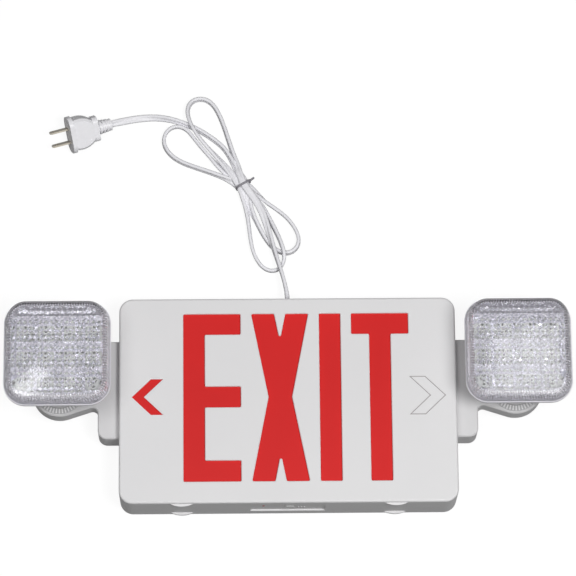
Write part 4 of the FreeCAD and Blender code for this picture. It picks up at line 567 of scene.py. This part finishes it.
def addLens(side, settings):
    name = f"{side}_prism_lens"
    low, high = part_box(f"{side}_head_lens")
    middle = Vector(((low.x + high.x) / 2, (low.y + high.y) / 2, 0))
    base, depth, wall, radius = high.x - low.x, high.z - low.z, settings["wall"], settings["round"]
    slope = (base - settings["faceWidth"]) / 2 / depth
    count = settings["ribs"] * settings["ribSteps"]
    ceiling, taper = depth - wall, settings["ribTaper"]

    def ring(level, inset):  # the points of one ring at this level above the lens's foot
        width = base - 2 * slope * level - 2 * inset
        corner = settings["baseCorner"] - slope * level - inset
        return [((middle.x + p.x, middle.y + p.y, low.z + level), (*out, 0), way)
                for p, out, way in roundedOutline(width, width, corner, count)]

    def skin(rings):
        return [(r + i, r + (i + 1) % count, r + count + (i + 1) % count, r + count + i)
                for r in range(0, (rings - 1) * count, count) for i in range(count)]

    # The inner wall, smooth so far: level, share of the rib's depth, share of the crown's depth.
    levels = ((0, 0, 0), (settings["ribStart"], 0, 0), (settings["ribFull"], 1, 0), (ceiling - taper, 1, 0),
              (ceiling - taper / 3, 0, 0.5), (ceiling, 0, 1))
    knots = [(*point, rib, crown) for level, rib, crown in levels for point in ring(level, wall)]
    smooth = bpy.data.meshes.new(name)
    smooth.from_pydata([knot[0] for knot in knots], [], skin(len(levels)))
    outward = smooth.attributes.new("outward", "FLOAT_VECTOR", "POINT")
    outward.data.foreach_set("vector", [part for knot in knots for part in knot[1]])
    for label, column in (("way", 2), ("rib", 3), ("crown", 4)):
        values = smooth.attributes.new(label, "FLOAT", "POINT")
        values.data.foreach_set("value", [knot[column] for knot in knots])
    inner = grow(f"{name} wall", smooth, flutes, Ribs=float(settings["ribs"]), Rib_Depth=settings["ribDepth"],
                 Crown_Depth=settings["ribCrown"], Material=materials["lens_ribs"])

    margin = wall + settings["ribCrown"] + settings["land"]
    pillows = grow(f"{name} pillows", bpy.data.meshes.new(name), pillowRows, Pitch=settings["pillowPitch"],
                   Rows=settings["pillows"], Steps=settings["pillowSteps"], Bulge=settings["bulge"],
                   Room=base - 2 * slope * ceiling - 2 * margin,
                   Corner=settings["baseCorner"] - slope * ceiling - margin,
                   Place=(middle.x, middle.y, low.z + ceiling), Material=materials["clear_lens"])

    turns = [math.pi / 2 * k / settings["roundSteps"] for k in range(settings["roundSteps"] + 1)]
    rings = [ring(0, wall), ring(0, 0)]
    rings += [ring(depth - radius + radius * math.sin(a), radius * (1 - math.cos(a))) for a in turns]
    shell = bpy.data.meshes.new(name)
    last = (len(rings) - 1) * count
    front = tuple(range(last, last + count))
    shell.from_pydata([knot[0] for points in rings for knot in points], [], [*skin(len(rings)), front])

    # The three skins are sewn into one closed cover, with a flat land round the pillows. Its finishes are the
    # clear face, the outer wall and the flutes, in this order.
    work = bmesh.new()
    for mesh, part in ((shell, 1), (inner.data, 2), (pillows.data, 0)):
        known = len(work.faces)
        work.from_mesh(mesh)
        work.faces.ensure_lookup_table()
        for face in work.faces[known:]:
            face.material_index = part if len(face.verts) == 4 else 0
    bmesh.ops.remove_doubles(work, verts=work.verts, dist=settings["merge"])
    rim = [e for e in work.edges if len(e.link_faces) == 1]
    land = bmesh.ops.triangle_fill(work, use_beauty=True, use_dissolve=False, edges=rim, normal=(0, 0, -1))
    for face in land["geom"]:
        if isinstance(face, bmesh.types.BMFace):
            face.material_index = 0
    bmesh.ops.recalc_face_normals(work, faces=work.faces)
    loose = sum(1 for e in work.edges if len(e.link_faces) != 2)
    mesh = bpy.data.meshes.new(name)
    work.to_mesh(mesh)
    work.free()
    for part in (inner, pillows):
        bpy.data.objects.remove(part)
    for finish in ("clear_lens", "lens_wall", "lens_ribs"):
        mesh.materials.append(materials[finish])
    lens = sharpen(addPiece(name, mesh), settings["sharp"])
    for face in mesh.polygons:  # the wide front face stays flat, so that it mirrors cleanly
        face.use_smooth = len(face.vertices) <= 4
    print(name, "faces", len(mesh.polygons), "open edges", loose)
    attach(lens, f"{side}_head")
    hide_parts(f"{side}_head_lens")


for side in sides:
    addLens(side, lensSettings)
print("lenses made")

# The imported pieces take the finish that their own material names; these have a finish of their own.
ownFinishes = ("lamp_board", "click_ring", "face_plate")
for name, node in nodes.items():
    worn = node.data.materials
    finish = next((own for own in ownFinishes if name.endswith(own)), worn[0].name.split(".")[0])
    worn[0] = materials[finish]
print("pieces painted:", len(nodes))

# The floor's height, half size, colour, roughness and glow, the share of it that gloss mirrors, and the sky.
studioSettings = {
    "floorLow": -0.0003, "floorReach": 6, "floor": 0.14, "floorRough": 0.9, "floorLift": 0.9,
    "glossyShare": 0.35, "world": 0.10,
}


# 1 for camera and see-through rays, this share for mirrored ones, 0 for the light that falls on things.
def seenDirectly(tree, mirrored=1.0):
    rays = tree.nodes.new("ShaderNodeLightPath")
    share, first, second = (tree.nodes.new("ShaderNodeMath") for _ in range(3))
    share.operation, first.operation, second.operation = "MULTIPLY", "MAXIMUM", "MAXIMUM"
    share.inputs[1].default_value = mirrored
    tree.links.new(rays.outputs["Is Glossy Ray"], share.inputs[0])
    tree.links.new(rays.outputs["Is Camera Ray"], first.inputs[0])
    tree.links.new(share.outputs[0], first.inputs[1])
    tree.links.new(first.outputs[0], second.inputs[0])
    tree.links.new(rays.outputs["Is Transmission Ray"], second.inputs[1])
    return second.outputs[0]


def addFloor(settings):
    low, reach = settings["floorLow"], settings["floorReach"]
    mesh = bpy.data.meshes.new("floor")
    mesh.from_pydata([(x * reach, y * reach, low) for x, y in ((-1, -1), (1, -1), (1, 1), (-1, 1))], [],
                     [(0, 1, 2, 3)])
    floor = addPiece("floor", mesh, smooth=False)
    material = bpy.data.materials.new("floor")
    material.use_nodes = True
    tree = material.node_tree
    surface = tree.nodes["Principled BSDF"]
    surface.inputs["Roughness"].default_value = settings["floorRough"]
    surface.inputs["Specular IOR Level"].default_value = 0
    surface.inputs["Base Color"].default_value = (*[settings["floor"]] * 3, 1)
    glow = tree.nodes.new("ShaderNodeEmission")
    glow.inputs["Color"].default_value = (1, 1, 1, 1)
    lift = tree.nodes.new("ShaderNodeMath")
    lift.operation = "MULTIPLY"
    lift.inputs[1].default_value = settings["floorLift"]
    tree.links.new(seenDirectly(tree, settings["glossyShare"]), lift.inputs[0])
    tree.links.new(lift.outputs[0], glow.inputs["Strength"])
    both = tree.nodes.new("ShaderNodeAddShader")
    tree.links.new(surface.outputs[0], both.inputs[0])
    tree.links.new(glow.outputs[0], both.inputs[1])
    under, clear = tree.nodes.new("ShaderNodeNewGeometry"), tree.nodes.new("ShaderNodeBsdfTransparent")
    oneSided = tree.nodes.new("ShaderNodeMixShader")
    tree.links.new(under.outputs["Backfacing"], oneSided.inputs[0])
    tree.links.new(both.outputs[0], oneSided.inputs[1])
    tree.links.new(clear.outputs[0], oneSided.inputs[2])
    tree.links.new(oneSided.outputs[0], tree.nodes["Material Output"].inputs["Surface"])
    floor.data.materials.append(material)


def addWorld(settings):
    world = bpy.data.worlds.new("studio")
    world.use_nodes = True
    tree = world.node_tree
    tree.nodes.clear()
    seen, light = tree.nodes.new("ShaderNodeBackground"), tree.nodes.new("ShaderNodeBackground")
    seen.inputs["Color"].default_value = light.inputs["Color"].default_value = (1, 1, 1, 1)
    seen.inputs["Strength"].default_value = 1
    light.inputs["Strength"].default_value = settings["world"]
    mix, out = tree.nodes.new("ShaderNodeMixShader"), tree.nodes.new("ShaderNodeOutputWorld")
    tree.links.new(seenDirectly(tree), mix.inputs[0])
    tree.links.new(light.outputs[0], mix.inputs[1])
    tree.links.new(seen.outputs[0], mix.inputs[2])
    tree.links.new(mix.outputs[0], out.inputs["Surface"])
    scene.world = world


# Two soft lamps, and two small ones that the flat lens faces mirror.
lampSettings = {
    "key": {"place": (0.75, -0.62, 2.4), "aim": (0, 0.05, 0), "size": (0.8, 0.8), "turn": 0, "power": 40},
    "fill": {"place": (-0.7, -0.25, 2.4), "aim": (0, 0.05, 0), "size": (1.2, 1.2), "turn": 0, "power": 17},
    "glint": {"place": (-0.375, 0.592, 2.4), "aim": (-0.2, 0.03, 0), "size": (0.022, 0.085), "turn": -50,
              "power": 0.06},
    "sheen": {"place": (0.408, 0.622, 2.4), "aim": (0.2, 0.03, 0), "size": (0.11, 0.13), "turn": 20,
              "power": 0.18},
}


def addLamp(name, settings):
    data = bpy.data.lights.new(name, "AREA")
    data.shape, data.energy = "RECTANGLE", settings["power"]
    data.size, data.size_y = settings["size"]
    lamp = bpy.data.objects.new(name, data)
    scene.collection.objects.link(lamp)
    place = Vector(settings["place"])
    facing = (Vector(settings["aim"]) - place).to_track_quat("-Z", "Y").to_matrix()
    turned = facing @ Matrix.Rotation(math.radians(settings["turn"]), 3, "Z")
    lamp.matrix_world = Matrix.Translation(place) @ turned.to_4x4()


addFloor(studioSettings)
addWorld(studioSettings)
for name, settings in lampSettings.items():
    addLamp(name, settings)
scene.view_settings.view_transform = "Standard"
print("studio set")

bpy.context.view_layer.update()
